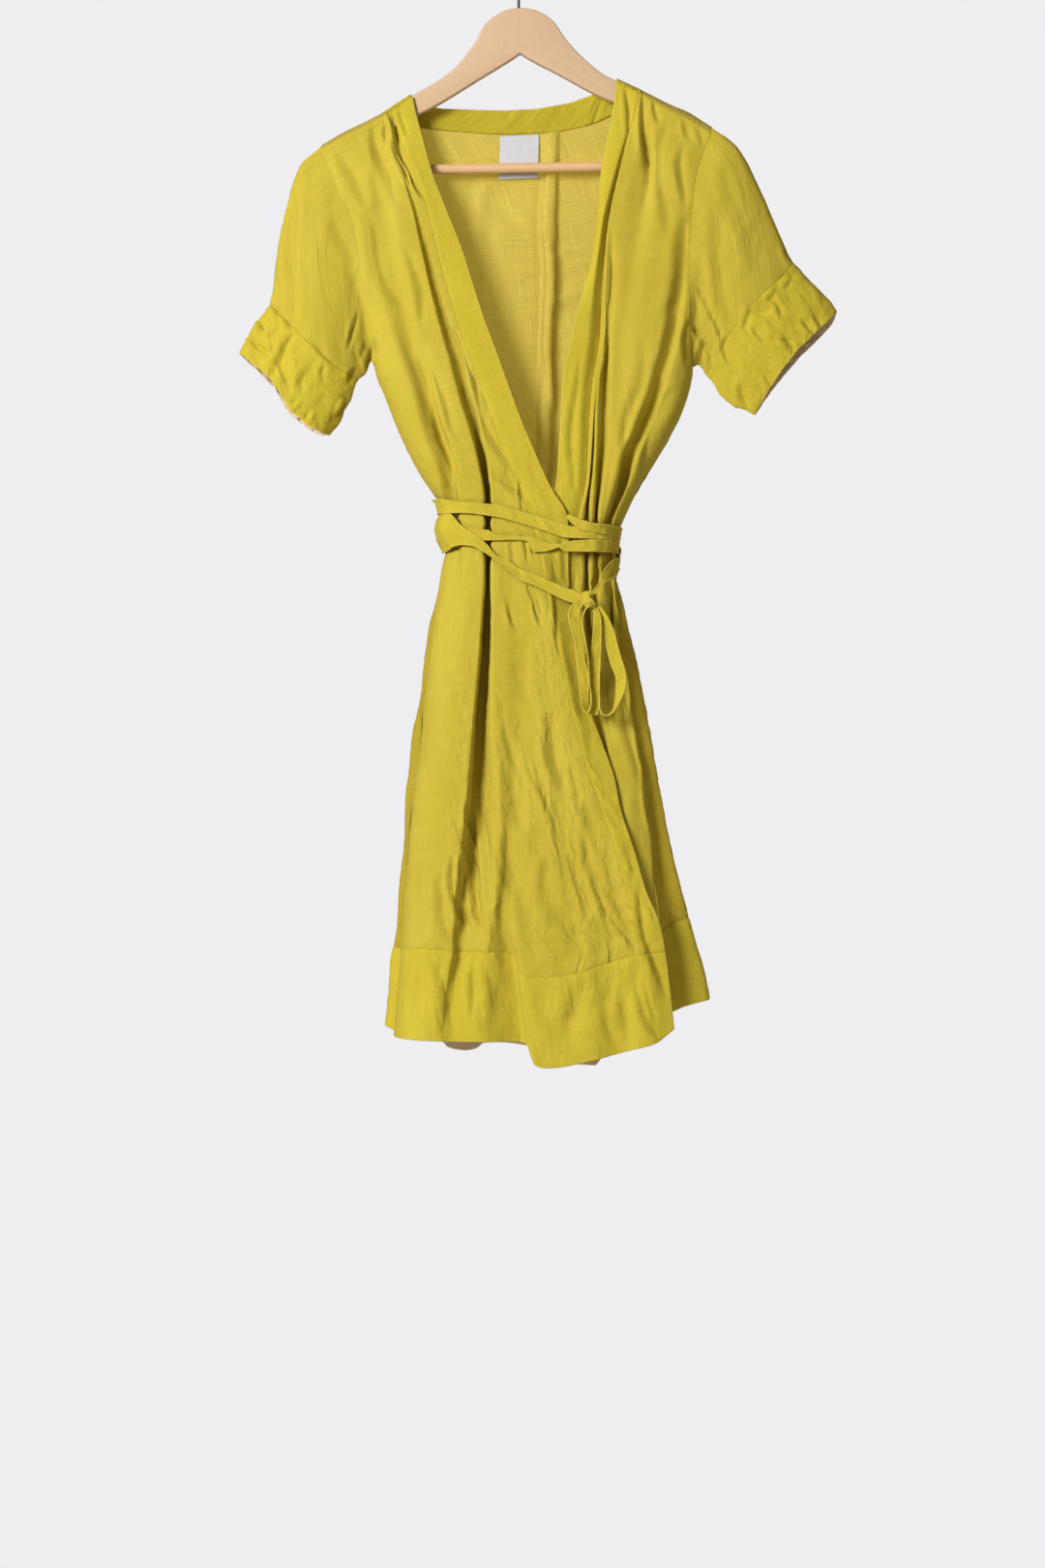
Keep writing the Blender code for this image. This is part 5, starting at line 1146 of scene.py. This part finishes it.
# strands round the waist: turn 0 is the viewer's left side, 1 the right side, 2 the left again
ties = tables(
    "turn upper lower lift",
    tie_upper=(
        (0.01, 566, 580, 3.4), (0.1, 567.5, 581.5, 2.6), (0.22, 571.5, 582, 1.4), (0.36, 574.5, 586, 1),
        (0.48, 583.5, 594.5, 1), (0.55, 589, 600.5, 1), (0.635, 596, 607.5, 1), (0.75, 600.5, 608.5, 1.2),
        (0.99, 602, 609, 1.2)),
    tie_cross=(
        (0.625, 584.5, 588, 2.2), (0.65, 587, 593, 2.6), (0.683, 590, 598.5, 2.8), (0.75, 593.5, 602, 2.4),
        (0.9, 595, 605, 1.8), (0.99, 596, 607, 1.8)),
    tie_middle=(
        (0.25, 599.5, 610, 1), (0.337, 600.5, 610.5, 1.2), (0.38, 606, 610.3, 1.4),
        (0.427, 607, 609.8, 1.6), (0.49, 607.8, 611.5, 1.4), (0.508, 608.5, 622.5, 1.4),
        (0.545, 612, 622, 1.4), (0.575, 615, 620.3, 1.8), (0.605, 615, 617.6, 2.2),
        (0.625, 613.5, 621.5, 1.8), (0.65, 612, 621.7, 1.2), (0.8, 610, 622, 1.2), (0.99, 610, 622, 1.2)),
    tie_lower=(
        (0.01, 583, 621, 1.0), (0.06, 581, 621, 1.4), (0.1, 581, 620.5, 2), (0.156, 583, 617, 2.4),
        (0.215, 594.5, 615, 2.8), (0.27, 604, 616.5, 3.2), (0.326, 614, 624, 3.6),
        (0.371, 626.5, 630.5, 3.8), (0.41, 630.5, 636, 3.8), (0.4515, 637, 645, 3.6),
        (0.48, 641.5, 652, 3.4), (0.52, 646, 656.5, 3.4), (0.578, 653, 665, 3.4), (0.635, 660, 673, 3.8),
        (0.66, 662.5, 675, 4.6), (0.7, 668, 677, 6)),
    tie_short=(
        (0.7224, 665.5, 670, 7.5), (0.745, 657.5, 663.5, 8.5), (0.766, 650, 657, 8.5),
        (0.7976, 640.5, 653, 8), (0.8347, 633, 651, 7), (0.891, 628, 643.5, 5.5), (0.94, 627, 639, 4),
        (0.99, 626, 637, 1.8)),
    tie_back_upper=(
        (1.01, 596, 608, 1.2), (1.25, 592, 605, 1), (1.55, 583, 596, 1), (1.8, 573, 586, 1.4),
        (1.99, 566, 580, 3.4)),
    tie_back_lower=(
        (1.01, 610, 636, 1.2), (1.2, 612, 630, 1), (1.5, 604, 618, 1), (1.8, 590, 612, 1.2),
        (1.99, 583, 621, 1)))
ribbonColumns = "x drop lift width turn"
bow = tables(
    ribbonColumns,
    bow_loop_right=(
        (62.5, 675.4, 6.6, 6, 4), (56.4, 678.5, 6.6, 10, 8), (54.3, 687.5, 6.6, 11, 10),
        (55.1, 698.8, 6.4, 9.5, 14), (58, 710, 6.2, 6.4, 10), (58.9, 720, 6.2, 6.6, 4),
        (61.4, 735, 6.2, 8.5, 4), (63.9, 748.8, 6.2, 10, 8), (64.8, 763.8, 6.4, 9, 14),
        (65.1, 776.3, 7, 8.5, 30), (66.2, 786, 8, 7, 60), (69, 788, 9, 6.5, 80), (71.6, 781, 9.4, 6, 86),
        (72, 770, 9.4, 6, 88), (70.3, 757.5, 9.2, 6, 88), (69.6, 742.5, 9.2, 6, 88),
        (68.9, 730, 9.2, 6, 86), (66, 712.5, 9.2, 6, 84), (63, 696, 9, 6, 84), (65, 684, 8.4, 5, 80),
        (68.3, 678.8, 7.6, 4, 70)),
    bow_loop_left=(
        (74.6, 676, 7, 4.6, -10), (80.4, 680.4, 7.6, 4.6, -20), (86.6, 692.5, 7.8, 6.8, -14),
        (89.8, 701.5, 7.4, 9.2, -8), (93.5, 720, 7, 11.5, -6), (98.8, 738.8, 7, 12, -8),
        (102.6, 751.3, 7.4, 10.5, -14), (102.4, 761.3, 8, 10.5, -28), (100.6, 769.5, 8.6, 9.5, -45),
        (98, 778, 9, 8, -62), (94.3, 786.5, 9.4, 6.5, -80), (88.3, 791, 9.6, 6, -88),
        (82.4, 788.8, 9.6, 6, -88), (80.4, 782, 9.4, 6, -88), (80.5, 770, 9.2, 6, -86),
        (80.2, 757.5, 9.2, 6, -86), (81, 732.5, 9.2, 6, -86), (82.4, 707.5, 9.2, 6, -86),
        (81.6, 690, 8.8, 5, -84), (78, 680.4, 8, 4, -70)),
    tie_end=(
        (75, 677.5, 4.8, 4.5, 0), (78.8, 686.3, 4.6, 8, 4), (79.5, 701.3, 4.4, 10, 6),
        (78, 720, 4.2, 10.5, 2), (76, 740, 4.2, 10, -4), (74.8, 755, 4.4, 9, 2), (76.1, 767.5, 5.2, 7, 10),
        (75.8, 777.5, 5.4, 9, 4), (74.3, 789, 5, 8.5, 0)))
wraps = tables(
    ribbonColumns,
    tie_wrap=(
        (64.6, 668, 9, 4, 0), (66.6, 670, 13, 4.6, 6), (70.4, 673.6, 15.2, 5, 0), (74, 677.2, 13, 4.6, -10),
        (75.6, 679, 9, 4, -14)),
    tie_tuck=(
        (63.6, 669, 8.5, 5, 0), (65.4, 667.4, 12, 6, 10), (68.8, 666.8, 13.4, 6.4, 2),
        (72, 667.4, 12.2, 5.4, -12), (73.4, 668.4, 9.6, 3, -24)))
tieLook = {
    "step": 2.6, "halfWaist": 297.0, "bowStep": 2.2, "wrapStep": 0.9,
    "cloth": 1.2, "across": 9, "crumb": 0.45, "lift": 1.15, "edge": 0.35, "puff": 6.5,
    "stitchAt": 0.84, "stitchWide": 0.07, "stitchDeep": 0.35,
}


def girdle(turns, drops, lifts):
    # points round the waist, lifted off the cloth
    left = read(body, "leftOut", drops)
    right = read(body, "rightOut", drops)
    half = (right - left) / 2
    angle = math.pi * (1 - turns)
    x = (left + right) / 2 + half * np.cos(angle)
    inward = half * (1 - np.abs(np.cos(angle)))
    before = -read(body, "front", drops) * turnIn(inward / roundIn)
    behind = 2 * sideStep + (read(body, "back", drops) - 2 * sideStep) * turnIn(inward / roundIn)
    y = np.where(turns <= 1, before, behind)
    run = np.stack([np.gradient(x), np.gradient(y)])
    run /= np.linalg.norm(run, axis=0)
    return np.stack([x + run[1] * lifts, y - run[0] * lifts, -drops], axis=1)


def tieWall(name, points, hint, look, seed):
    # a turned ribbon: full edges, a stitched line near one edge, and creases along it
    along = runs(points, 0)
    share = np.linspace(0, 1, points.shape[1])[None]
    wide = np.linalg.norm(points[:, -1] - points[:, 0], axis=1)[:, None]
    stitched = np.exp(-((share - tieLook["stitchAt"]) / tieLook["stitchWide"]) ** 2)
    move = tieLook["edge"] * (np.abs(2 * share - 1) ** 6) - tieLook["stitchDeep"] * stitched
    move = move + tieLook["crumb"] * cloud(along / 9.0 + 30, share * 2.4 + 0.02 * along + 30, seed)
    move = move + 0.5 * tieLook["crumb"] * cloud(along / 3.4 + 30, share * 3.4 + 30, seed + 1)
    gather = cloud(along / 26.0 + 30, share * wide / 3.6 + 0.03 * along + 30, seed + 2)
    move = move + np.clip((wide - 9) / 8, 0, 1) * gather * 1.1
    move = move + np.clip((wide - 20) / 18, 0, 1) * tieLook["puff"] * np.sin(math.pi * share ** 0.7)
    points = points + facing(points, hint) * move[..., None]
    return thickShell(name + "_cloth", points, hint, tieLook["cloth"], (look, look), edges="top bottom")


def addTies(look):
    made = []
    for seed, (name, rows) in enumerate(ties.items()):
        first, last = rows["turn"][[0, -1]]
        turns = np.linspace(first, last, 8 + round(tieLook["halfWaist"] * (last - first) / tieLook["step"]))
        lifts = read(rows, "lift", turns) + tieLook["lift"]
        upper = read(rows, "upper", turns)
        lower = read(rows, "lower", turns)
        share = np.linspace(0, 1, tieLook["across"])
        points = np.stack([girdle(turns, upper * (1 - part) + lower * part, lifts) for part in share], axis=1)
        hint = points - np.array([(points[:, 0, 0].min() + points[:, 0, 0].max()) / 2, 2.0, 0.0])
        hint[..., 2] = 0
        made.append(tieWall(name, points, hint, look, 40 + 3 * seed))
    return made


def ribbon(rows, step):
    # a loose ribbon from its middle line, width and turn
    y = -read(body, "front", rows["drop"]) - rows["lift"]
    half = rows["width"] / 2
    turn = np.radians(rows["turn"])
    line = np.column_stack([rows["x"], y, -rows["drop"], half * np.cos(turn), half * np.sin(turn)])
    stops = runs(line[:, :3])
    at = np.linspace(0, stops[-1], max(8, round(stops[-1] / step)))
    line = soften(np.column_stack([glide(stops, line[:, way], at) for way in range(5)]), 4)
    run = np.gradient(line[:, :3], axis=0)
    aside = np.column_stack([-run[:, 2], 0 * run[:, 0], run[:, 0]])
    aside /= np.linalg.norm(aside, axis=1, keepdims=True)
    reach = aside * line[:, 3:4] + np.array([[0.0, 1.0, 0.0]]) * line[:, 4:5]
    share = np.linspace(-1, 1, tieLook["across"])[None, :, None]
    return line[:, None, :3] + reach[:, None] * share


def addBow(look):
    return [tieWall(name, ribbon(rows, tieLook["bowStep"]), front, look, 70 + 3 * seed)
            for seed, (name, rows) in enumerate(bow.items())]


knotLook = {"x": 70.2, "drop": 674.2, "lift": 8.0, "size": (6.2, 4.6, 6.8), "wraps": 2.4, "furrow": 0.4}


def addKnot(look):
    # the tied middle: a full lump, with two wraps of the tie pulled over it
    mesh = bpy.data.meshes.new("tie_knot_cloth")
    ball = bmesh.new()
    bmesh.ops.create_icosphere(ball, subdivisions=5, radius=1.0)
    surface = -float(read(body, "front", knotLook["drop"]))
    centre = np.array([knotLook["x"], surface - knotLook["lift"], -knotLook["drop"]])
    size = np.array(knotLook["size"])
    lays = []
    for vertex in ball.verts:
        way = np.array(vertex.co)
        around = math.atan2(way[2], way[0])
        slant = way[0] * 0.75 + way[2] * 0.66
        furrow = abs(math.sin(slant * knotLook["wraps"] + 0.6 + 0.5 * math.sin(around * 2)))
        swell = 1.0 - knotLook["furrow"] * (1 - furrow) ** 3 + 0.05 * math.sin(5 * around + 3 * way[1])
        lays.append((way[0] * 0.012, slant * 0.012, 0.02))
        vertex.co = Vector((centre + way * size * swell) * mm)
    ball.to_mesh(mesh)
    ball.free()
    store(mesh, "lay", lays)
    store(mesh, "seam", np.tile([0.05, 0.0, 0.4], (len(lays), 1)))
    return [stand("tie_knot_cloth", mesh, [look])] + [
        tieWall(name, ribbon(rows, tieLook["wrapStep"]), front, look, 95) for name, rows in wraps.items()]


labelLook = {
    "width": 40.0, "height": 45.0, "x": -1.0, "y": 15.4, "drop": 186.5, "lean": 2.0, "curl": 1.1,
    "light": (0.56, 0.57, 0.635, 1), "deep": (0.49, 0.495, 0.57, 1),
}


def satin(name, look):
    sheet = Sheet(bpy.data.materials.new(name))
    lay = sheet.field("lay")
    fine = sheet.noise(sheet.vector(lay * 300.0, lay.out(1) * 5200.0), 2.0)
    weave = (lay * 5200.0).sine() * (lay.out(1) * 5200.0).sine()
    fold = (1.0 - lay.out(2) / 0.0014).held()
    tone = (0.75 + (fine - 0.5) * 0.9 - fold * 0.35).held()
    return sheet.finish(sheet.node("BsdfPrincipled", {}, {
        "Base Color": sheet.mix(tone, look["deep"], look["light"]), "Roughness": (0.42 + fine * 0.15).held(),
        "Normal": sheet.bump(weave * 0.00004 + fine * 0.0001, 0.5), "Specular IOR Level": 0.4}))


def addLabel(look):
    across = np.linspace(-0.5, 0.5, 41)[:, None]
    down = np.linspace(0, 1, 47)[None]
    x = labelLook["x"] + labelLook["width"] * (across + 0 * down) - 1.2 * down
    z = -labelLook["drop"] - labelLook["height"] * (down + 0 * across) + 1.6 * across
    y = labelLook["y"] - labelLook["lean"] * down - labelLook["curl"] * down ** 2 * np.cos(math.pi * across)
    points = np.stack([x, y + 0.12 * cloud(across * 9 + 9, down * 8 + 9, 91), z], axis=2)
    return thickShell("label_tape", points, front, dress["label"], (look, look),
                      edges="left right top bottom")


hangerOutline = [
    (-221, 227), (-219.5, 219), (-215, 212), (-208, 206.5), (-199, 198), (-180, 187.2), (-155, 175.2),
    (-134, 163.2), (-113, 149.2), (-87, 134.5), (-68, 120), (-48, 95), (-36, 74), (-26, 66), (-14, 60),
    (0, 58), (14, 60), (25, 65), (34, 72), (46, 89), (58, 103), (73, 117), (87, 127.5), (99, 133.2),
    (117, 141.2), (139, 152.2), (155, 160.2), (174, 168.2), (185, 175.2), (199, 184.5), (208, 192),
    (216, 198.5), (221, 207), (223, 219), (220, 231), (210, 236), (201, 231), (196.5, 222), (195, 210),
    (180, 199), (155, 182), (117, 164), (79, 148), (40, 127), (4, 107.8), (0, 105), (-4, 107.8),
    (-45, 133.2), (-90, 160.5), (-117, 174), (-155, 196), (-178, 208), (-189, 216), (-190.5, 228),
    (-195, 236), (-205, 240), (-216, 236),
]
hangerLook = {
    "thick": 12.0, "edge": 1.9, "step": 2.0, "slope": 0.56, "knot": (3.057, -0.0787), "rough": 0.42,
    "light": (0.60, 0.425, 0.285, 1), "deep": (0.50, 0.33, 0.20, 1), "blush": (0.63, 0.39, 0.285, 1),
}
barLook = {
    **hangerLook, "light": (0.72, 0.46, 0.26, 1), "deep": (0.62, 0.38, 0.20, 1),
    "radius": 5.0, "from": (-189.2, 225.5), "to": (195.1, 219.5),
}


def beech(name, look):
    # pale, close grained wood under a thin varnish: long soft rings, short dark flecks, a knot
    sheet = Sheet(bpy.data.materials.new(name))
    lay = sheet.field("lay")
    along = lay
    across = lay.out(1)
    deep = lay.out(2)
    bend = sheet.noise(sheet.vector(along * 9.0, across * 30.0, deep * 30.0), 3.0)
    rings = sheet.noise(
        sheet.vector(along * 5.0 + bend * 0.7, across * 420.0 + bend * 5.0, deep * 260.0), 3.0)
    flecks = sheet.noise(sheet.vector(along * 320.0, across * 1700.0, deep * 900.0), 1.0)
    fleck = ((flecks - 0.66) * 9.0).held()
    warm = sheet.noise(sheet.vector(along * 11.0, across * 22.0, deep * 22.0 + 5.0), 2.0)
    tone = ((rings - 0.5) * 0.6 + 0.72 - fleck * 0.4).held()
    joint = (1.0 - abs(sheet.node("Attribute", {"attribute_name": "joint"}, {}, "Fac")) / 0.0005).held()
    spot = ((along - look["knot"][0]) ** 2.0 + (across - look["knot"][1]) ** 2.0) ** 0.5 / 0.0045
    colour = sheet.mix(tone, look["deep"], look["light"])
    colour = sheet.mix(((warm - 0.5) * 2.2).held() * 0.6, colour, look["blush"])
    colour = sheet.mix(joint * 0.35, colour, look["deep"])
    colour = sheet.mix((1.2 - spot + (flecks - 0.5) * 1.6).held() * 0.6, colour, look["deep"])
    return sheet.finish(sheet.node("BsdfPrincipled", {}, {
        "Base Color": colour, "Roughness": (look["rough"] + (rings - 0.5) * 0.25).held(),
        "Normal": sheet.bump(rings * 0.00012 - fleck * 0.00006 - joint * 0.0002, 0.3),
        "Coat Weight": 0.25, "Coat Roughness": 0.3, "Specular IOR Level": 0.45}))


def addHanger(look):
    # each arm's grain runs along it, so the two halves meet in a line at the middle
    rows = np.array(hangerOutline, float)
    closed = np.concatenate([rows, rows[:1]])
    stops = runs(closed)
    at = np.arange(0, stops[-1], hangerLook["step"])
    outline = softenRing(np.column_stack([glide(stops, closed[:, way], at) for way in (0, 1)]), 1) * mm
    curve = bpy.data.curves.new("hanger_outline", "CURVE")
    curve.dimensions = "2D"
    curve.fill_mode = "BOTH"
    curve.extrude = (hangerLook["thick"] / 2 - hangerLook["edge"]) * mm
    curve.bevel_depth = hangerLook["edge"] * mm
    curve.bevel_resolution = 5
    curve.offset = -hangerLook["edge"] * mm
    spline = curve.splines.new("POLY")
    spline.points.add(len(outline) - 1)
    still = np.zeros(len(outline))
    corners = np.column_stack([outline[:, 0], -outline[:, 1], still, still + 1])
    spline.points.foreach_set("co", corners.ravel())
    spline.use_cyclic_u = True
    holder = bpy.data.objects.new("hanger_outline", curve)
    bpy.context.scene.collection.objects.link(holder)
    bpy.context.view_layer.update()
    mesh = bpy.data.meshes.new_from_object(holder.evaluated_get(bpy.context.evaluated_depsgraph_get()))
    bpy.data.objects.remove(holder)
    mesh.name = "hanger_wood"
    shape = bmesh.new()
    shape.from_mesh(mesh)
    bmesh.ops.remove_doubles(shape, verts=shape.verts, dist=0.00001)
    for vertex in shape.verts:
        x, y, z = vertex.co
        vertex.co = (x, -z, y)
    fitted(shape, mesh)
    place = np.array([vertex.co for vertex in mesh.vertices])
    side = np.sign(place[:, 0] + 1e-9)
    slope = hangerLook["slope"]
    along = np.abs(place[:, 0]) * math.cos(slope) - place[:, 2] * math.sin(slope)
    across = np.abs(place[:, 0]) * math.sin(slope) + place[:, 2] * math.cos(slope)
    store(mesh, "lay", np.column_stack([along + 3 * (side > 0), across * side, place[:, 1]]))
    store(mesh, "joint", place[:, 0] + 0.001)
    return stand("hanger_wood", mesh, [look])


def rod(name, places, radii, look, sides):
    # a round bar or wire along points, closed at its ends
    run = np.gradient(places, axis=0)
    run /= np.linalg.norm(run, axis=1, keepdims=True)
    up = np.array([0.0, 1.0, 0.0])
    aside = np.cross(run, up)
    aside /= np.linalg.norm(aside, axis=1, keepdims=True)
    angle = np.linspace(0, 2 * math.pi, sides, endpoint=False)
    circle = np.cos(angle)[None, :, None] * aside[:, None] + np.sin(angle)[None, :, None] * up
    wide = radii[:, None]
    points = places[:, None] + circle * wide[..., None]
    number = np.arange(len(places) * sides).reshape(-1, sides)
    after = np.roll(number, -1, axis=1)
    quads = np.stack([number[:-1], after[:-1], after[1:], number[1:]], axis=2).reshape(-1, 4)
    ends = [number[0][::-1].tolist(), number[-1].tolist()]
    mesh = bpy.data.meshes.new(name)
    mesh.from_pydata(points.reshape(-1, 3) * mm, [], quads.tolist() + ends)
    along = np.repeat(runs(places)[:, None], sides, axis=1)
    lay = np.stack([along, circle[..., 2] * wide, circle[..., 1] * wide], axis=2) * mm
    store(mesh, "lay", lay.reshape(-1, 3))
    store(mesh, "joint", np.full(number.size, 0.05))
    return stand(name, mesh, [look])


def addBar(look):
    share = np.linspace(0, 1, 60)[:, None]
    start, end = (np.array([place[0], 0, -place[1]]) for place in (barLook["from"], barLook["to"]))
    return rod("hanger_bar_wood", start * (1 - share) + end * share, np.full(60, barLook["radius"]), look, 32)


hookLook = {
    "inner": 17.0, "radius": 1.5, "stem": -2.0, "crest": 58.0, "points": 150,
    "from": -84, "sweep": 259,          # the curl's first angle and how far it goes round, in degrees
    "colour": (0.055, 0.055, 0.06, 1), "wearAndHighlight": (0.30, 0.29, 0.28, 1),
}


def steel(name, look):
    sheet = Sheet(bpy.data.materials.new(name))
    lay = sheet.field("lay")
    scuff = sheet.noise(sheet.vector(lay * 220.0, lay.out(1) * 1400.0, lay.out(2) * 1400.0), 3.0)
    wearAndHighlight = ((scuff - 0.62) * 5.0).held()
    return sheet.finish(sheet.node("BsdfPrincipled", {}, {
        "Base Color": sheet.mix(wearAndHighlight, look["colour"], look["wearAndHighlight"]), "Roughness": (0.30 + scuff * 0.2).held(),
        "Metallic": 1.0, "Normal": sheet.bump(scuff * 0.00005, 0.3)}))


def addHook(look):
    radius = hookLook["inner"] + hookLook["radius"]
    stem = hookLook["stem"]
    line = [(stem, hookLook["crest"] + 8.0), (stem, hookLook["crest"]), (stem, 50.0), (-1.7, 44.0)]
    for angle in np.radians(hookLook["from"] + hookLook["sweep"] * np.arange(73) / 72):
        line.append((radius * math.cos(angle), hookLook["inner"] - radius * math.sin(angle)))
    line = smoothLine(line, hookLook["points"])
    radii = np.full(hookLook["points"], hookLook["radius"])
    radii[-3:] *= np.array([0.92, 0.75, 0.4])       # the wire's end is rounded
    return rod("hanger_hook_wire", np.column_stack([line[:, 0], 0 * radii, -line[:, 1]]), radii, look, 16)


studio = {
    "floorDrop": 1990.0, "floorReach": 1.3, "pale": (0.84, 0.835, 0.85, 1),
    "sky": (0.86, 0.85, 0.87, 1), "seen": 1.0,                  # the backdrop as it looks
    "bounce": (0.97, 0.83, 0.50, 1), "skyLight": 0.25,          # and the light that it gives
    "camera": (0.002, -3.83, -0.860), "lens": 85.0, "film": 36.0,
}
# place, what it points at, size, power, colour, and whether it shows in reflections
lamps = {
    "key": ((-2.05, -2.65, 0.4), (0, 0, -0.65), (1.3, 1.3), 151.0, (1.0, 0.985, 0.96), True),
    "fill": ((2.6, -2.0, -0.7), (0, 0, -0.7), (2.0, 2.4), 8.0, (0.96, 0.98, 1.0), True),
    "back": ((0.3, 2.6, -0.1), (0, 0, -0.5), (2.4, 2.0), 90.0, (1.0, 1.0, 1.0), False),
}


def addLight(name, place, target, size, power, colour, glossy):
    light = bpy.data.lights.new(name, "AREA")
    light.shape = "RECTANGLE"
    light.size, light.size_y = size
    light.energy = power
    light.color = colour
    made = bpy.data.objects.new(name, light)
    bpy.context.scene.collection.objects.link(made)
    made.location = place
    made.visible_glossy = glossy
    made.rotation_euler = (Vector(target) - Vector(place)).to_track_quat("-Z", "Y").to_euler()


def addStudio():
    scene = bpy.context.scene
    scene.world = bpy.data.worlds.new("studio")
    sheet = Sheet(scene.world)
    sky = sheet.node("Background", {}, {"Color": studio["bounce"], "Strength": studio["skyLight"]})
    backdrop = sheet.node("Background", {}, {"Color": studio["sky"], "Strength": studio["seen"]})
    seen = sheet.node("LightPath", {}, {}, "Is Camera Ray")
    sheet.finish(sheet.node("MixShader", {}, {0: seen, 1: sky, 2: backdrop}), "OutputWorld")
    for name, lamp in lamps.items():
        addLight(name, *lamp)
    mesh = bpy.data.meshes.new("floor")
    shape = bmesh.new()
    bmesh.ops.create_circle(shape, cap_ends=True, segments=96, radius=studio["floorReach"])
    shape.to_mesh(mesh)
    shape.free()
    pale = Sheet(bpy.data.materials.new("floor"))
    look = pale.finish(pale.node("BsdfPrincipled", {}, {"Base Color": studio["pale"], "Roughness": 0.9}))
    floor = stand("floor", mesh, [look])
    floor.location = (0, 0, -studio["floorDrop"] * mm)
    camera = bpy.data.cameras.new("camera")
    camera.lens = studio["lens"]
    camera.sensor_fit = "VERTICAL"
    camera.sensor_height = studio["film"]
    holder = bpy.data.objects.new("camera", camera)
    scene.collection.objects.link(holder)
    holder.location = studio["camera"]
    holder.rotation_euler = (math.radians(90), 0, 0)
    scene.camera = holder
    scene.view_settings.view_transform = "Standard"
    scene.view_settings.look = "None"


cloths = {
    "plain": linen("linen", outerLinen), "backOuter": linen("linen_back_outer", backOuterLinen),
    "doubled": linen("linen_doubled", doubledLinen), "back": linen("linen_back", backGlowLinen),
    "facing": linen("linen_facing", facingLinen), "neck": linen("linen_neck_shaded", shadedNeckLinen),
}
print("linen ready")

right, left, fronts = addFronts(cloths)
print("fronts cut")
seamLine, backs = addBack(right, left, neck, cloths)
neckband = addNeckband(seamLine, cloths["neck"])
print("back and neck band cut")
sleeves = addSleeve("right", rightSleeve, right[0], -1.0, (-1.4, 1.6), rightSleeveCreases, cloths, 101)
sleeves += addSleeve("left", leftSleeve, left[-1], 1.0, (4.6, 3.6), leftSleeveCreases, cloths, 131)
print("sleeves set in")
strands = addTies(cloths["doubled"]) + addBow(cloths["doubled"])
knot = addKnot(cloths["doubled"])
print("ties wound and tied")
label = addLabel(satin("satin_tape", labelLook))

# width and length that each piece was cut to, in metres, and its area where it isn't a rectangle
cuts = {
    "front_right_cloth": (0.30, 0.90, 0.155), "frontband_right_cloth": (0.027, 0.93),
    "hemband_right_cloth": (0.33, 0.095), "frontband_left_cloth": (0.029, 0.92),
    "front_left_cloth": (0.20, 0.90, 0.092), "hemband_left_cloth": (0.135, 0.095),
    "back_cloth": (0.42, 0.88, 0.31), "hemband_back_cloth": (0.48, 0.098),
    "back_shoulder_right": (0.10, 0.02), "back_shoulder_left": (0.11, 0.02),
    "neckband_back_cloth": (0.026, 0.32), "sleeve_right_cloth": (0.26, 0.138),
    "sleeve_left_cloth": (0.26, 0.138), "cuff_right_cloth": (0.25, 0.066),
    "cuff_left_cloth": (0.30, 0.066), "tie_upper_cloth": (0.0135, 0.25),
    "tie_cross_cloth": (0.010, 0.09), "tie_middle_cloth": (0.0115, 0.185),
    "tie_lower_cloth": (0.016, 0.21), "tie_short_cloth": (0.016, 0.06),
    "tie_back_upper_cloth": (0.013, 0.26), "tie_back_lower_cloth": (0.0185, 0.25),
    "bow_loop_right_cloth": (0.0105, 0.21), "bow_loop_left_cloth": (0.0105, 0.22),
    "tie_end_cloth": (0.010, 0.11),
}
standsFor = {"back_shoulder_right": "back", "back_shoulder_left": "back", "tie_cross_cloth": "tie_upper"}
pieces = {piece.name: piece for piece in (*fronts, *backs, neckband, *sleeves, *strands)}
for name, (width, length, *area) in cuts.items():
    node = standsFor.get(name, name.removesuffix("_cloth"))
    held = "draped" if pieces[name] in strands else "hung"
    wear(pieces[name], node, (width, length), held, area[0] if area else None)
for piece in knot:
    carry(piece, "tie_knot")
wear(label, "label", (0.040, 0.045), "hung", None, slot="label")

carry(addHanger(beech("beech", hangerLook)), "hanger_body")
carry(addBar(beech("beech_bar", barLook)), "hanger_bar")
carry(addHook(steel("dark_wire", hookLook)), "hanger_hook")
print("hanger made")

addStudio()
print("studio ready")
